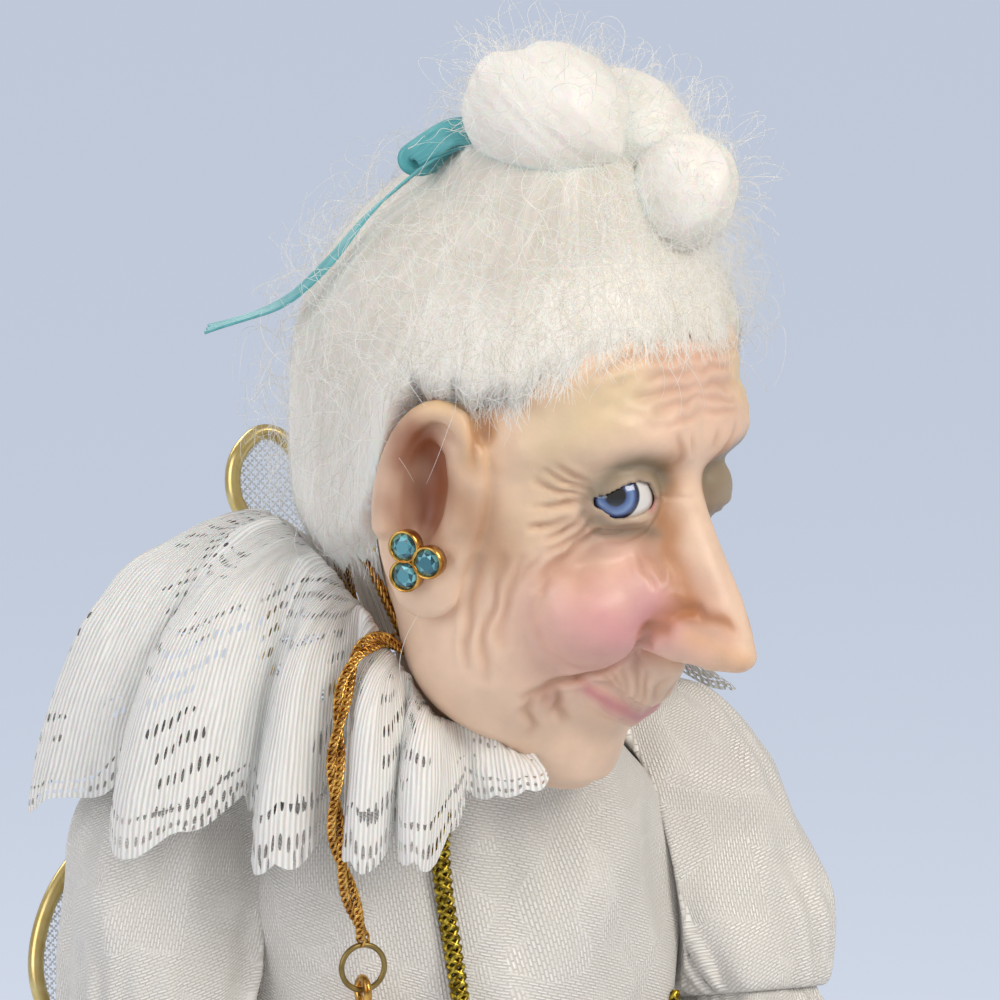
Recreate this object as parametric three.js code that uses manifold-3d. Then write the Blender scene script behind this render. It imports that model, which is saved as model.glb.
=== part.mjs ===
// An elderly fairy doll in a satin gown, standing on a turned wooden base.
// Units are millimetres, +Z is up and the doll's chest faces -Y, so its left hand is at +X.
// The origin is the middle of the base's underside.
import * as THREE from "three";
import { mergeVertices } from "three/addons/utils/BufferGeometryUtils.js";
import Module from "manifold-3d";

const wasm = await Module();
wasm.setup();

// Driving dimensions
const clearance = 0.3; // between two pieces that touch on the real doll
const baseRadius = 56;
const baseThickness = 12;
const rodRadius = 1.6;
const rodDepth = 8; // how deep the rod is set in the base
const hemHeight = 3.5; // of the skirt's hem above the base
const hemHalfWidth = 49;
const hemHalfDepth = 45;
const skirtFolds = 13;
const skirtFoldDepth = 3.2;
const skirtCloth = 1.4;
const legRadius = 6;
const legSpacing = 17.5;
const shoeLength = 30;
const shoeWidth = 11.5;
const shoeHeight = 10;
const hipHeight = 150;
const waistHeight = 178;
const waistHalfWidth = 15.5;
const bodiceHeight = 57; // from the waist seam to the neckline
const chestHalfWidth = 21;
const chestDepth = 15.5; // from the body's axis to the front
const backDepth = 15; // from the body's axis to the stooped back
const bodiceCloth = 1.2;
const armPivotDrop = 11; // of the arm pins below the neckline
const armPivotY = 2;
const armPinRadius = 1.5;
const armPinLength = 13;
const armholeRadius = 5.5;
const leftArmRaise = 12; // degrees forwards from hanging straight down
const rightArmRaise = 0;
const sleeveRadius = 7.6;
const sleeveDrop = 16; // from the arm pin down to the sleeve's gathered end
const sleeveCloth = 1.1;
const sleeveFolds = 6;
const armRadius = 3.5;
const cuffBraidRadius = 0.9;
const cuffLaceWidth = 13;
const cuffLaceFlare = 6;
const cuffLaceFolds = 9;
const laceThickness = 0.8;
const neckRadius = 6.6;
const neckLean = 6; // how far the neck leans forward of the body's axis
const neckHeight = 14; // from the neckline to the top of the neck
const pegRadius = 5;
const pegHeight = 7.5;
const headRise = 23; // from the neckline to the line through both ears
const headSetForward = 8; // from the neck's axis to the ears
const headTurn = 28; // degrees to the doll's left
const headNod = 12; // degrees downwards
const eyeSpacing = 11.6;
const eyeRadius = 3.3;
const hairHalfWidth = 19.2;
const hairHalfDepth = 21.5;
const hairHalfHeight = 22.2;
const stoneRadius = 1.2;
const stonePitch = 1.55; // from the cluster's middle to each stone
const bezelWall = 0.35;
const bezelThickness = 1.2;
const ribbonWidth = 3;
const ribbonThickness = 0.6;
const collarInnerRadius = 10.5;
const collarWidth = 25;
const collarFolds = 15;
const collarFoldDepth = 2.1;
const chainRadius = 0.95;
const chainTwists = 20;
const chainDropLength = 23;
const jumpRingRadius = 2;
const jumpRingWire = 0.32;
const pendantRadius = 3.2;
const pendantThickness = 1.5;
const trimRadius = 1;
const wingRise = 42.4; // of the upper lobe above the root
const wingDrop = 18.5; // of the lower lobe below the root
const wingReach = 30.5; // of the lower lobe to the side
const wingWire = 0.75;
const wingNetThickness = 0.6;
const wingLeanBack = 12; // degrees that each wing leans back
const wingRootDrop = 19; // of the wing roots below the neckline

// Levels and places that follow from them
const neckline = waistHeight + bodiceHeight;
const armPivotZ = neckline - armPivotDrop;
const armholePlane = chestHalfWidth + 2 * clearance;
const neckTop = neckline + neckHeight;
const earHeight = neckline + headRise;
const soleHeight = baseThickness + clearance;
const ankleHeight = soleHeight + shoeHeight;
const torsoTop = neckline - 7;

// Materials
const finish = (color, roughness, metalness = 0) =>
  new THREE.MeshStandardMaterial({ color, roughness, metalness });
const walnut = finish(0x6a4630, 0.45);
const steel = finish(0xb8bcc0, 0.35, 1);
const satin = finish(0xe9e2d2, 0.4);
const muslin = finish(0xeadfcb, 0.9);
const clay = finish(0xeec6a6, 0.5);
const shoeLeather = finish(0xe6dccb, 0.5);
const lace = finish(0xf4f3ee, 0.85);
const mohair = finish(0xf0eee8, 0.7);
const gold = finish(0xc9963c, 0.3, 1);
const goldBraid = finish(0xb99a2e, 0.4, 1);
const glassEye = finish(0x9fb4d8, 0.1);
const crystal = finish(0x3f9fb5, 0.08);
const turquoise = finish(0x6ec6cf, 0.45);
const net = finish(0xf2f4f6, 0.8);

// Solids and booleans

/** A closed geometry as a solid, turned so that its faces point out. */
function solid(geometry) {
  const position = (geometry.index ? geometry.toNonIndexed() : geometry).getAttribute("position");
  const merged = mergeVertices(new THREE.BufferGeometry().setAttribute("position", position), 1e-4);
  const vertProperties = merged.attributes.position.array;
  const build = (triVerts) => new wasm.Manifold(new wasm.Mesh({ numProp: 3, vertProperties, triVerts }));
  const made = build(new Uint32Array(merged.index.array));
  return made.volume() > 0 ? made : build(new Uint32Array(merged.index.array).reverse());
}

/** The geometry of a solid. */
function geometryOf(body) {
  const { vertProperties, triVerts, numProp, numVert } = body.getMesh();
  const positions = new Float32Array(numVert * 3);
  for (let i = 0; i < numVert; i++) {
    positions.set(vertProperties.subarray(i * numProp, i * numProp + 3), i * 3);
  }
  const geometry = new THREE.BufferGeometry();
  geometry.setAttribute("position", new THREE.BufferAttribute(positions, 3));
  geometry.setIndex(new THREE.BufferAttribute(triVerts, 1));
  geometry.computeVertexNormals();
  return geometry;
}

const doll = new THREE.Group();

/** Adds one named piece to a group. */
function add(name, material, body, parent = doll) {
  const geometry = body.isBufferGeometry ? geometryOf(solid(body)) : geometryOf(body);
  const mesh = new THREE.Mesh(geometry, material);
  mesh.name = name;
  parent.add(mesh);
}

/** A geometry from vertices and triangles. */
function meshGeometry(points, triangles) {
  const geometry = new THREE.BufferGeometry().setFromPoints(points);
  geometry.setIndex(triangles);
  return geometry;
}

/** A solid skinned over rings of equally many points: capped at both ends, or wrapped into a loop. */
function loft(rings, wrapped = false) {
  const sides = rings[0].length;
  const points = rings.flat();
  const triangles = [];
  const spans = wrapped ? rings.length : rings.length - 1;
  for (let i = 0; i < spans; i++) {
    const here = i * sides;
    const next = ((i + 1) % rings.length) * sides;
    for (let j = 0; j < sides; j++) {
      const k = (j + 1) % sides;
      triangles.push(here + j, here + k, next + k, here + j, next + k, next + j);
    }
  }
  if (!wrapped) {
    const last = (rings.length - 1) * sides;
    for (const [start, way] of [[0, -1], [last, 1]]) {
      const ring = points.slice(start, start + sides);
      const middle = ring.reduce((sum, p) => sum.add(p), new THREE.Vector3()).divideScalar(sides);
      points.push(middle);
      for (let j = 0; j < sides; j++) {
        const edge = [start + j, start + ((j + 1) % sides)];
        triangles.push(points.length - 1, ...(way > 0 ? edge : edge.reverse()));
      }
    }
  }
  return meshGeometry(points, triangles);
}

/** A sheet of cloth of even thickness: at(u, v) is its middle surface, and u may close on itself. */
function sheet(stepsU, stepsV, thickness, at, closedU) {
  const columns = closedU ? stepsU : stepsU + 1;
  const rows = stepsV + 1;
  const small = 1e-3;
  const points = [];
  for (const side of [0.5, -0.5]) {
    for (let i = 0; i < columns; i++) {
      for (let j = 0; j < rows; j++) {
        const u = i / stepsU;
        const v = j / stepsV;
        const alongU = at(u + small, v).sub(at(u - small, v));
        const alongV = at(u, Math.min(v + small, 1)).sub(at(u, Math.max(v - small, 0)));
        const normal = alongU.cross(alongV).normalize();
        points.push(at(u, v).addScaledVector(normal, side * thickness));
      }
    }
  }
  const index = (layer, i, j) => (layer * columns + (i % columns)) * rows + j;
  const triangles = [];
  const quad = (a, b, c, d) => triangles.push(a, b, c, a, c, d);
  for (let i = 0; i < stepsU; i++) {
    for (let j = 0; j < stepsV; j++) {
      quad(index(0, i, j), index(0, i + 1, j), index(0, i + 1, j + 1), index(0, i, j + 1));
      quad(index(1, i, j), index(1, i, j + 1), index(1, i + 1, j + 1), index(1, i + 1, j));
    }
    quad(index(0, i, 0), index(1, i, 0), index(1, i + 1, 0), index(0, i + 1, 0));
    quad(index(0, i, stepsV), index(0, i + 1, stepsV), index(1, i + 1, stepsV), index(1, i, stepsV));
  }
  if (!closedU) {
    for (let j = 0; j < stepsV; j++) {
      quad(index(0, 0, j), index(0, 0, j + 1), index(1, 0, j + 1), index(1, 0, j));
      quad(index(0, stepsU, j), index(1, stepsU, j), index(1, stepsU, j + 1), index(0, stepsU, j + 1));
    }
  }
  return meshGeometry(points, triangles);
}

/** A smooth function through stations: rows of a place, in rising order, and the values there. */
function stations(rows) {
  const slope = (i, c) => {
    const a = rows[Math.max(i - 1, 0)];
    const b = rows[Math.min(i + 1, rows.length - 1)];
    return (b[c] - a[c]) / (b[0] - a[0]);
  };
  return (place) => {
    let i = rows.findIndex((row) => row[0] > place) - 1;
    if (i === -2) i = rows.length - 2;
    i = Math.max(i, 0);
    const span = rows[i + 1][0] - rows[i][0];
    const t = THREE.MathUtils.clamp((place - rows[i][0]) / span, 0, 1);
    const after = 3 * t * t - 2 * t ** 3;
    const leaving = t ** 3 - 2 * t * t + t;
    const arriving = t ** 3 - t * t;
    return rows[i].slice(1).map((value, k) => {
      const c = k + 1;
      const bend = span * (leaving * slope(i, c) + arriving * slope(i + 1, c));
      return (1 - after) * value + after * rows[i + 1][c] + bend;
    });
  };
}

/** A round limb that swells and tapers through stations of [x, y, z, radius]. */
function limb(nodes, sides = 10, flatten = 1) {
  const centres = nodes.map(([x, y, z]) => new THREE.Vector3(x, y, z));
  const aside = new THREE.Vector3(1, 0, 0);
  const rings = centres.map((centre, i) => {
    const before = centres[Math.max(i - 1, 0)];
    const along = centres[Math.min(i + 1, centres.length - 1)].clone().sub(before).normalize();
    const across = aside.clone().addScaledVector(along, -aside.dot(along)).normalize();
    const up = along.clone().cross(across);
    return Array.from({ length: sides }, (_, k) => {
      const angle = (2 * Math.PI * k) / sides;
      return centre
        .clone()
        .addScaledVector(across, nodes[i][3] * Math.cos(angle))
        .addScaledVector(up, nodes[i][3] * flatten * Math.sin(angle));
    });
  });
  return loft(rings);
}

/** A tube whose section turns along a curve: section gives the radius at an angle. */
function sweep(curve, steps, sides, section, turns, closed) {
  const frames = curve.computeFrenetFrames(steps, closed);
  const count = closed ? steps : steps + 1;
  const rings = Array.from({ length: count }, (_, i) => {
    const centre = curve.getPointAt(i / steps);
    return Array.from({ length: sides }, (_, k) => {
      const angle = (2 * Math.PI * k) / sides;
      const turned = angle + (2 * Math.PI * turns * i) / steps;
      return centre
        .clone()
        .addScaledVector(frames.normals[i], section(angle) * Math.cos(turned))
        .addScaledVector(frames.binormals[i], section(angle) * Math.sin(turned));
    });
  });
  return loft(rings, closed);
}

const curveThrough = (points, closed = false) =>
  new THREE.CatmullRomCurve3(points.map((p) => new THREE.Vector3(...p)), closed, "centripetal");

function ellipsoid(x, y, z, halfX, halfY, halfZ, across = 16, down = 10) {
  const geometry = new THREE.SphereGeometry(1, across, down).rotateX(Math.PI / 2);
  return geometry.scale(halfX, halfY, halfZ).translate(x, y, z);
}

function cylinder(radius, length, sides = 16) {
  return new THREE.CylinderGeometry(radius, radius, length, sides);
}

// Turned base and the rod that carries the doll

function buildBase() {
  const foot = 3.2;
  const bead = 1.6;
  const profile = new THREE.Path();
  profile.moveTo(0, 0);
  profile.lineTo(baseRadius - 1, 0);
  profile.quadraticCurveTo(baseRadius, 0, baseRadius, 1);
  profile.lineTo(baseRadius, foot);
  profile.quadraticCurveTo(baseRadius - 4, foot + 0.6, baseRadius - 5, baseThickness - 2 * bead);
  profile.absarc(baseRadius - 5, baseThickness - bead, bead, -Math.PI / 2, Math.PI / 2, false);
  profile.lineTo(0, baseThickness);
  const turned = solid(new THREE.LatheGeometry(profile.getPoints(2), 32).rotateX(Math.PI / 2));
  const hole = cylinder(rodRadius + clearance, rodDepth, 12).rotateX(Math.PI / 2);
  const holeMiddle = baseThickness - rodDepth / 2 + 0.01;
  add("stand_base", walnut, turned.subtract(solid(hole.translate(0, 0, holeMiddle))));
}

const rodFoot = baseThickness - rodDepth + clearance;
const rodTop = torsoTop - 10;

function buildRod() {
  const length = rodTop - rodFoot;
  const rod = cylinder(rodRadius, length, 12).rotateX(Math.PI / 2);
  add("support_rod", steel, rod.translate(0, 0, rodFoot + length / 2));
}

// Shoes and stuffed legs, under the skirt

function shoe(x) {
  const outline = stations([
    [0, 0.55, 0.95],
    [0.2, 0.72, 1],
    [0.5, 0.8, 0.72],
    [0.8, 1, 0.5],
    [1, 0.55, 0.32],
  ]);
  const heel = 0.32 * shoeLength;
  const rings = [0, 0.08, 0.25, 0.45, 0.65, 0.82, 0.94, 1].map((t) => {
    const [wide, high] = outline(t);
    const y = heel - t * shoeLength;
    return Array.from({ length: 12 }, (_, k) => {
      const angle = (2 * Math.PI * k) / 12;
      const lift = Math.max(0, 0.5 + 0.75 * Math.sin(angle));
      const half = (wide * shoeWidth) / 2;
      const z = soleHeight + high * shoeHeight * Math.min(lift, 1);
      return new THREE.Vector3(x + half * Math.cos(angle), y, z);
    });
  });
  return loft(rings);
}

function buildLegs() {
  for (const [side, name] of [[1, "left"], [-1, "right"]]) {
    const x = (side * legSpacing) / 2;
    add(`shoe_${name}`, shoeLeather, shoe(x));
    const foot = ankleHeight + clearance;
    const top = hipHeight - clearance;
    const shape = [[0, 0.72], [0.12, 0.7], [0.35, 1], [0.5, 0.86], [0.8, 1.08], [1, 1.02]];
    const nodes = shape.map(([t, r]) => [x, 0, foot + t * (top - foot), r * legRadius]);
    add(`leg_${name}`, muslin, limb(nodes, 12));
  }
}

// Stuffed torso and the bodice over it

const along = (share) => waistHeight + share * bodiceHeight;
const bodiceShape = stations([
  // height, middle, half width, depth to the front, depth to the back
  [along(0), 0, waistHalfWidth, chestDepth - 3, backDepth - 3.5],
  [along(0.21), 0, waistHalfWidth + 1.6, chestDepth - 1.4, backDepth - 2.4],
  [along(0.47), 0, chestHalfWidth - 0.6, chestDepth, backDepth - 0.4],
  [along(0.67), 0, chestHalfWidth - 0.2, chestDepth - 0.6, backDepth],
  [along(0.84), -0.5, chestHalfWidth - 1.6, chestDepth - 2.8, backDepth - 2],
  [along(0.93), -2.2, chestHalfWidth - 5, chestDepth - 4.2, backDepth - 4.4],
  [along(1), -0.6 * neckLean, neckRadius + 5, neckRadius + 4.2, neckRadius + 3.2],
]);

/** A point of the bodice, moved out by some distance: angle 0 is the front, turning to the left. */
function bodicePoint(angle, z, out = 0) {
  const [middle, half, front, back] = bodiceShape(z);
  const depth = Math.cos(angle) > 0 ? front : back;
  const round = 2 / 2.25;
  const power = (value) => Math.sign(value) * Math.abs(value) ** round;
  return new THREE.Vector3(
    (half + out) * power(Math.sin(angle)),
    middle - (depth + out) * power(Math.cos(angle)),
    z,
  );
}

function armPinHole(side, radius, length) {
  const pin = cylinder(radius, length, 12).rotateZ(Math.PI / 2);
  return pin.translate(side * armholePlane, armPivotY, armPivotZ);
}

const torsoInset = bodiceCloth / 2 + clearance;

function buildTorso() {
  const hips = stations([
    [hipHeight, 0.86],
    [(hipHeight + waistHeight) / 2, 1.04],
    [waistHeight - 6, 1],
  ]);
  const rings = [];
  const sides = 16;
  const ring = (z, share) =>
    Array.from({ length: sides }, (_, k) => {
      const point = bodicePoint((2 * Math.PI * k) / sides, Math.max(z, waistHeight), -torsoInset);
      return new THREE.Vector3(point.x * share, point.y * share, z);
    });
  for (const t of [0, 0.35, 0.7, 1]) {
    const z = THREE.MathUtils.lerp(hipHeight, waistHeight - 6, t);
    rings.push(ring(z, hips(z)[0] * 0.97));
  }
  for (const t of [0, 0.3, 0.6, 0.8, 1]) {
    rings.push(ring(THREE.MathUtils.lerp(waistHeight, torsoTop, t), 0.985));
  }
  let body = solid(loft(rings));
  const boreLength = rodTop - hipHeight + 2 * clearance;
  const rodBore = cylinder(rodRadius + clearance, boreLength, 12).rotateX(Math.PI / 2);
  body = body.subtract(solid(rodBore.translate(0, 0, hipHeight + boreLength / 2 - clearance)));
  for (const side of [1, -1]) {
    body = body.subtract(solid(armPinHole(side, armPinRadius + clearance, armPinLength + 2 * clearance)));
  }
  add("torso", muslin, body);
}

function buildBodice() {
  const cloth = sheet(
    22,
    7,
    bodiceCloth,
    (u, v) => bodicePoint(2 * Math.PI * u, waistHeight + clearance / 2 + v * (bodiceHeight - clearance / 2)),
    true,
  );
  let body = solid(cloth);
  for (const side of [1, -1]) {
    const armhole = cylinder(armholeRadius, 16, 14).rotateZ(Math.PI / 2);
    body = body.subtract(solid(armhole.translate(side * (chestHalfWidth + 1), armPivotY, armPivotZ)));
  }
  add("bodice", satin, body);
}

// Gathered skirt

const skirtTop = waistHeight - clearance;
const hemZ = baseThickness + hemHeight;

function skirtPoint(u, v) {
  const angle = 2 * Math.PI * u;
  const spread = Math.sin((v * Math.PI) / 2) ** 0.8 * 0.55 + 0.45 * v;
  const top = bodicePoint(angle, waistHeight);
  const halfWidth = THREE.MathUtils.lerp(waistHalfWidth, hemHalfWidth, spread);
  const halfDepth = THREE.MathUtils.lerp(chestDepth - 3, hemHalfDepth, spread);
  const fold = skirtFoldDepth * v ** 0.6 * Math.cos(skirtFolds * angle + 1.1 * v);
  const x = (halfWidth + fold) * Math.sin(angle);
  const y = -(halfDepth + fold) * Math.cos(angle);
  const hang = new THREE.Vector3(x, y, 0);
  const gather = THREE.MathUtils.smoothstep(v, 0, 0.25);
  const point = top.lerp(hang, gather);
  point.z = THREE.MathUtils.lerp(skirtTop, hemZ, v);
  return point;
}

function buildSkirt() {
  add("skirt", satin, sheet(52, 5, skirtCloth, skirtPoint, true));
}

// Clay shoulder plate and neck, with the peg that the head turns on

const neckAxisY = -neckLean;

function buildNeck() {
  const round = (z, y, halfX, halfY) =>
    Array.from({ length: 18 }, (_, k) => {
      const angle = (2 * Math.PI * k) / 18;
      return new THREE.Vector3(halfX * Math.sin(angle), y - halfY * Math.cos(angle), z);
    });
  const plate = torsoTop + clearance;
  const lean = (share) => neckAxisY * share;
  const rings = [
    round(plate, lean(0.12), chestHalfWidth - 5.2, chestDepth - 6),
    round(neckline - 4.5, lean(0.26), chestHalfWidth - 7.6, neckRadius + 2.2),
    round(neckline - 1, lean(0.5), neckRadius + 1.5, neckRadius + 1.1),
    round(neckline + 2, lean(0.85), neckRadius + 0.5, neckRadius + 0.5),
    round(neckline + 4, lean(1), neckRadius, neckRadius),
    round(neckTop, lean(1), neckRadius, neckRadius),
    round(neckTop, lean(1), pegRadius, pegRadius),
    round(neckTop + pegHeight, lean(1), pegRadius, pegRadius),
  ];
  rings.forEach((ring) => ring.reverse());
  add("shoulder_plate", clay, loft(rings));
}

// Arms: cloth upper arm on a pin, clay forearm and hand, satin sleeve, gold braid and lace

function buildArm(side, name, raise) {
  const pivotX = side * (armholePlane + sleeveRadius * 0.62);
  const gatherX = pivotX + side * 2.6;
  const gatherZ = armPivotZ - sleeveDrop;
  const gatherRadius = sleeveRadius * 0.64;
  const armTop = gatherZ + 2.5;
  const elbow = [gatherX + side * 1.5, -1, gatherZ - 17];
  const wrist = [gatherX - side * 3, -25, gatherZ - 36];

  const raised = (body) =>
    (body.isBufferGeometry ? body : geometryOf(body))
      .translate(0, -armPivotY, -armPivotZ)
      .rotateX(-THREE.MathUtils.degToRad(raise))
      .translate(0, armPivotY, armPivotZ);

  add(`arm_pin_${name}`, steel, armPinHole(side, armPinRadius, armPinLength));

  const ball = armRadius + 1;
  const shoulder = [
    [pivotX - side * 0.8, armPivotY, armPivotZ + ball * 0.9, ball * 0.4],
    [pivotX - side * 0.4, armPivotY, armPivotZ + ball * 0.45, ball * 0.86],
    [pivotX, armPivotY, armPivotZ, ball],
    [pivotX + side * 1.4, armPivotY - 0.6, armPivotZ - 2.4, ball - 0.2],
    [gatherX, 0, armTop + 3.4, armRadius + 0.2],
    [gatherX, 0, armTop + clearance, armRadius],
  ];
  const pinHole = solid(armPinHole(side, armPinRadius + clearance, armPinLength + 2 * clearance));
  add(`upper_arm_${name}`, muslin, raised(solid(limb(shoulder, 10)).subtract(pinHole)));
  add(`forearm_${name}`, clay, raised(forearm(side, [gatherX, 0, armTop], elbow, wrist)));
  add(`sleeve_${name}`, satin, raised(sleeve(side, pivotX, gatherX, gatherZ, gatherRadius)));

  const braidRing = new THREE.TorusGeometry(
    gatherRadius + cuffBraidRadius + 3 * clearance, cuffBraidRadius, 5, 20,
  );
  add(`cuff_braid_${name}`, goldBraid, raised(braidRing.translate(gatherX, 0, gatherZ + 0.6)));

  const laceTop = gatherZ - clearance - laceThickness / 2;
  const flounce = (u, v) => {
    const angle = 2 * Math.PI * u;
    const fold = 0.9 * v * Math.cos(cuffLaceFolds * angle);
    const radius = gatherRadius - 0.8 + cuffLaceFlare * v ** 0.8 + fold;
    const x = gatherX + side * 2.8 * v + 0.72 ** v * radius * Math.sin(angle);
    return new THREE.Vector3(x, -radius * Math.cos(angle) - 1.5 * v, laceTop - v * cuffLaceWidth * 0.86);
  };
  add(`cuff_lace_${name}`, lace, raised(sheet(27, 2, laceThickness, flounce, true)));
}

/** The puffed sleeve: a pear of cloth, cut off at the armhole and gathered at its lower end. */
function sleeve(side, pivotX, gatherX, gatherZ, gatherRadius) {
  const outline = stations([
    // share of the height, radius, slant towards the gathered end
    [0, 0.12 * sleeveRadius, 0],
    [0.06, 0.55 * sleeveRadius, 0.02],
    [0.22, 0.9 * sleeveRadius, 0.12],
    [0.5, sleeveRadius, 0.45],
    [0.78, 0.95 * sleeveRadius, 0.85],
    [1, gatherRadius, 1],
  ]);
  const top = armPivotZ + sleeveRadius * 1.16;
  const pear = (inset, overrun) => {
    const rings = [0, 0.06, 0.16, 0.32, 0.55, 0.8, 1].map((t) => {
      const [radius, slant] = outline(t);
      const z = THREE.MathUtils.lerp(top - inset, gatherZ - overrun, t);
      return Array.from({ length: 18 }, (_, k) => {
        const angle = (2 * Math.PI * k) / 18;
        const fold = 0.055 * radius * t * Math.cos(sleeveFolds * angle);
        const reach = Math.max(radius - inset + fold, 0.3);
        const x = THREE.MathUtils.lerp(pivotX, gatherX, slant) + reach * Math.sin(angle);
        const y = THREE.MathUtils.lerp(armPivotY, 0, slant) - reach * Math.cos(angle);
        return new THREE.Vector3(x, y, z);
      });
    });
    return solid(loft(rings));
  };
  const wide = 10 * sleeveRadius;
  const inside = new THREE.BoxGeometry(wide, wide, wide);
  inside.translate(side * (armholePlane - wide / 2), 0, armPivotZ);
  return pear(0, 0).subtract(pear(sleeveCloth, 1)).subtract(solid(inside));
}

/** The clay forearm, bent at the elbow, with a relaxed hand. */
function forearm(side, top, elbow, wrist) {
  const arm = limb(
    [
      [...top, armRadius],
      [top[0], top[1], top[2] - 5, armRadius - 0.1],
      [elbow[0] - side * 0.3, elbow[1] + 0.4, elbow[2] + 2.5, armRadius],
      [elbow[0] - side * 1, elbow[1] - 3.6, elbow[2] - 3.4, armRadius],
      [(elbow[0] + wrist[0]) / 2, (elbow[1] + wrist[1]) / 2, (elbow[2] + wrist[2]) / 2, armRadius * 0.9],
      [...wrist, armRadius * 0.62],
    ],
    8,
  );
  const reach = new THREE.Vector3(...wrist).sub(new THREE.Vector3(...elbow)).normalize();
  const across = new THREE.Vector3(side, 0, 0).addScaledVector(reach, -reach.x * side).normalize();
  const at = (forward, aside, drop) =>
    new THREE.Vector3(...wrist)
      .addScaledVector(reach, forward)
      .addScaledVector(across, aside)
      .add(new THREE.Vector3(0, 0, -drop))
      .toArray();
  const palm = [
    [...at(-1, 0, 0), armRadius * 0.64],
    [...at(2.5, 0, 0), armRadius * 0.72],
    [...at(6, 0, 0.3), armRadius * 0.92],
    [...at(9, 0, 0.9), armRadius * 0.8],
  ];
  let hand = solid(arm).add(solid(limb(palm, 8, 0.62)));
  const fingers = [-2.5, -0.9, 0.8, 2.3];
  const lengths = [7, 8.6, 8.2, 6.2];
  fingers.forEach((aside, i) => {
    const finger = [
      [...at(7.6, aside, 0.5), 1.05],
      [...at(7.6 + lengths[i] * 0.5, aside * 1.12, 1.5), 0.95],
      [...at(7.6 + lengths[i] * 0.9, aside * 1.15, 3.4), 0.8],
      [...at(7.6 + lengths[i], aside * 1.15, 4.1), 0.4],
    ];
    hand = hand.add(solid(limb(finger, 5)));
  });
  const thumb = [
    [...at(3, -2, 0.2), 1.2],
    [...at(6.2, -4.6, 0.8), 1.1],
    [...at(9, -5.4, 2), 0.55],
  ];
  return hand.add(solid(limb(thumb, 5)));
}

// Head: l is towards the doll's left, f forwards and h up from the point between the ears

const nod = THREE.MathUtils.degToRad(headNod);

/** A point of the nodding head in the head group's own axes. */
function headPoint(l, f, h) {
  const forward = f * Math.cos(nod) + h * Math.sin(nod);
  return new THREE.Vector3(l, -(forward + headSetForward), h * Math.cos(nod) - f * Math.sin(nod));
}

/** Turns a geometry made in x = l, y = -f, z = h into the nodding head's place. */
const toHead = (geometry) => geometry.rotateX(nod).translate(0, -headSetForward, 0);

const headShape = stations([
  // height, widest place, half width, front, back
  [-24.8, 11.4, 2.2, 12.6, 10.2],
  [-23.6, 11.2, 4.8, 13.6, 9.4],
  [-20.5, 9.2, 8.2, 14.4, 7.8],
  [-16.5, 6, 10.8, 15, 4],
  [-13.4, 3.4, 12, 16.4, -4],
  [-11, 2, 12.9, 17.6, -9],
  [-4, 1, 14, 18, -13.5],
  [3, 0, 14.8, 16.6, -16.8],
  [9, -0.5, 15.4, 18, -19],
  [16, -1.4, 15.6, 15.2, -19.4],
  [21.5, -2.6, 13.2, 10.4, -17],
  [25.6, -3.6, 8.2, 3.6, -11.6],
  [27.2, -3.8, 3, -1, -7],
]);

const swellings = [
  // place, reach and height of each swelling or hollow of the face
  [8.6, 13.4, -9, 4.2, 2.6], // cheek
  [5.6, 18, 9.4, 3.2, 1.3], // brow
  [5.9, 16, 3.4, 2.6, -1.2], // eye socket
  [0, 13.8, -22, 3.6, 1.4], // chin
  [0, 15.2, -17.6, 2.6, 1], // lips
  [6.5, 10, -17, 2.6, -0.9], // hollow beside the mouth
];

function swelling(l, f, h) {
  let sum = 0;
  for (const [atL, atF, atH, reach, height] of swellings) {
    const gap = (Math.abs(l) - atL) ** 2 + (f - atF) ** 2 + (h - atH) ** 2;
    sum += height * Math.exp(-gap / (2 * reach * reach));
  }
  return sum;
}

/** A ring of the skull at one height, moved out by some distance. */
function headRing(h, out) {
  const [widest, half, front, back] = headShape(h);
  const sides = 26;
  const power = (value, share) => Math.sign(value) * Math.abs(value) ** share;
  return Array.from({ length: sides }, (_, k) => {
    const angle = (2 * Math.PI * k) / sides;
    const reach = Math.cos(angle) > 0 ? front - widest : widest - back;
    const l = half * power(Math.sin(angle), 0.92);
    const f = widest + reach * power(Math.cos(angle), 0.92);
    const away = out + swelling(l, f, h) * THREE.MathUtils.smoothstep(Math.cos(angle), -0.1, 0.3);
    return new THREE.Vector3(l + away * Math.sin(angle), -f - away * Math.cos(angle), h);
  });
}

function skull(out = 0) {
  const heights = [-24, -22, -19.5, -16.5, -13.4, -10, -6, -2, 2, 5.5, 9, 12.5, 16, 19, 22.2, 25.2];
  const levels = [-24.8 - out, ...heights, 27.2 + out];
  return solid(loft(levels.map((h) => headRing(h, out))));
}

/** The long drooping nose, skinned over level rings. */
function nose() {
  const shape = stations([
    // height, front, half width
    [-10.8, 25.8, 1],
    [-9.8, 27.8, 2.6],
    [-8.2, 28.1, 3.4],
    [-5.4, 25, 3.3],
    [-1.4, 20.8, 2.6],
    [3, 17.6, 1.9],
    [6.5, 16, 1],
  ]);
  const root = 11;
  const rings = [-10.8, -9.8, -8.6, -7, -4.6, -1.4, 2.2, 6.5].map((h) => {
    const [front, half] = shape(h);
    return Array.from({ length: 10 }, (_, k) => {
      const angle = (2 * Math.PI * k) / 10;
      const reach = Math.cos(angle) > 0 ? front - root - 3 : 3;
      return new THREE.Vector3(half * Math.sin(angle), -(root + 3 + reach * Math.cos(angle)), h);
    });
  });
  return solid(loft(rings));
}

const earPlace = { l: 14.6, f: 1.2, h: -0.6 };
const earFlare = THREE.MathUtils.degToRad(24);

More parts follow.
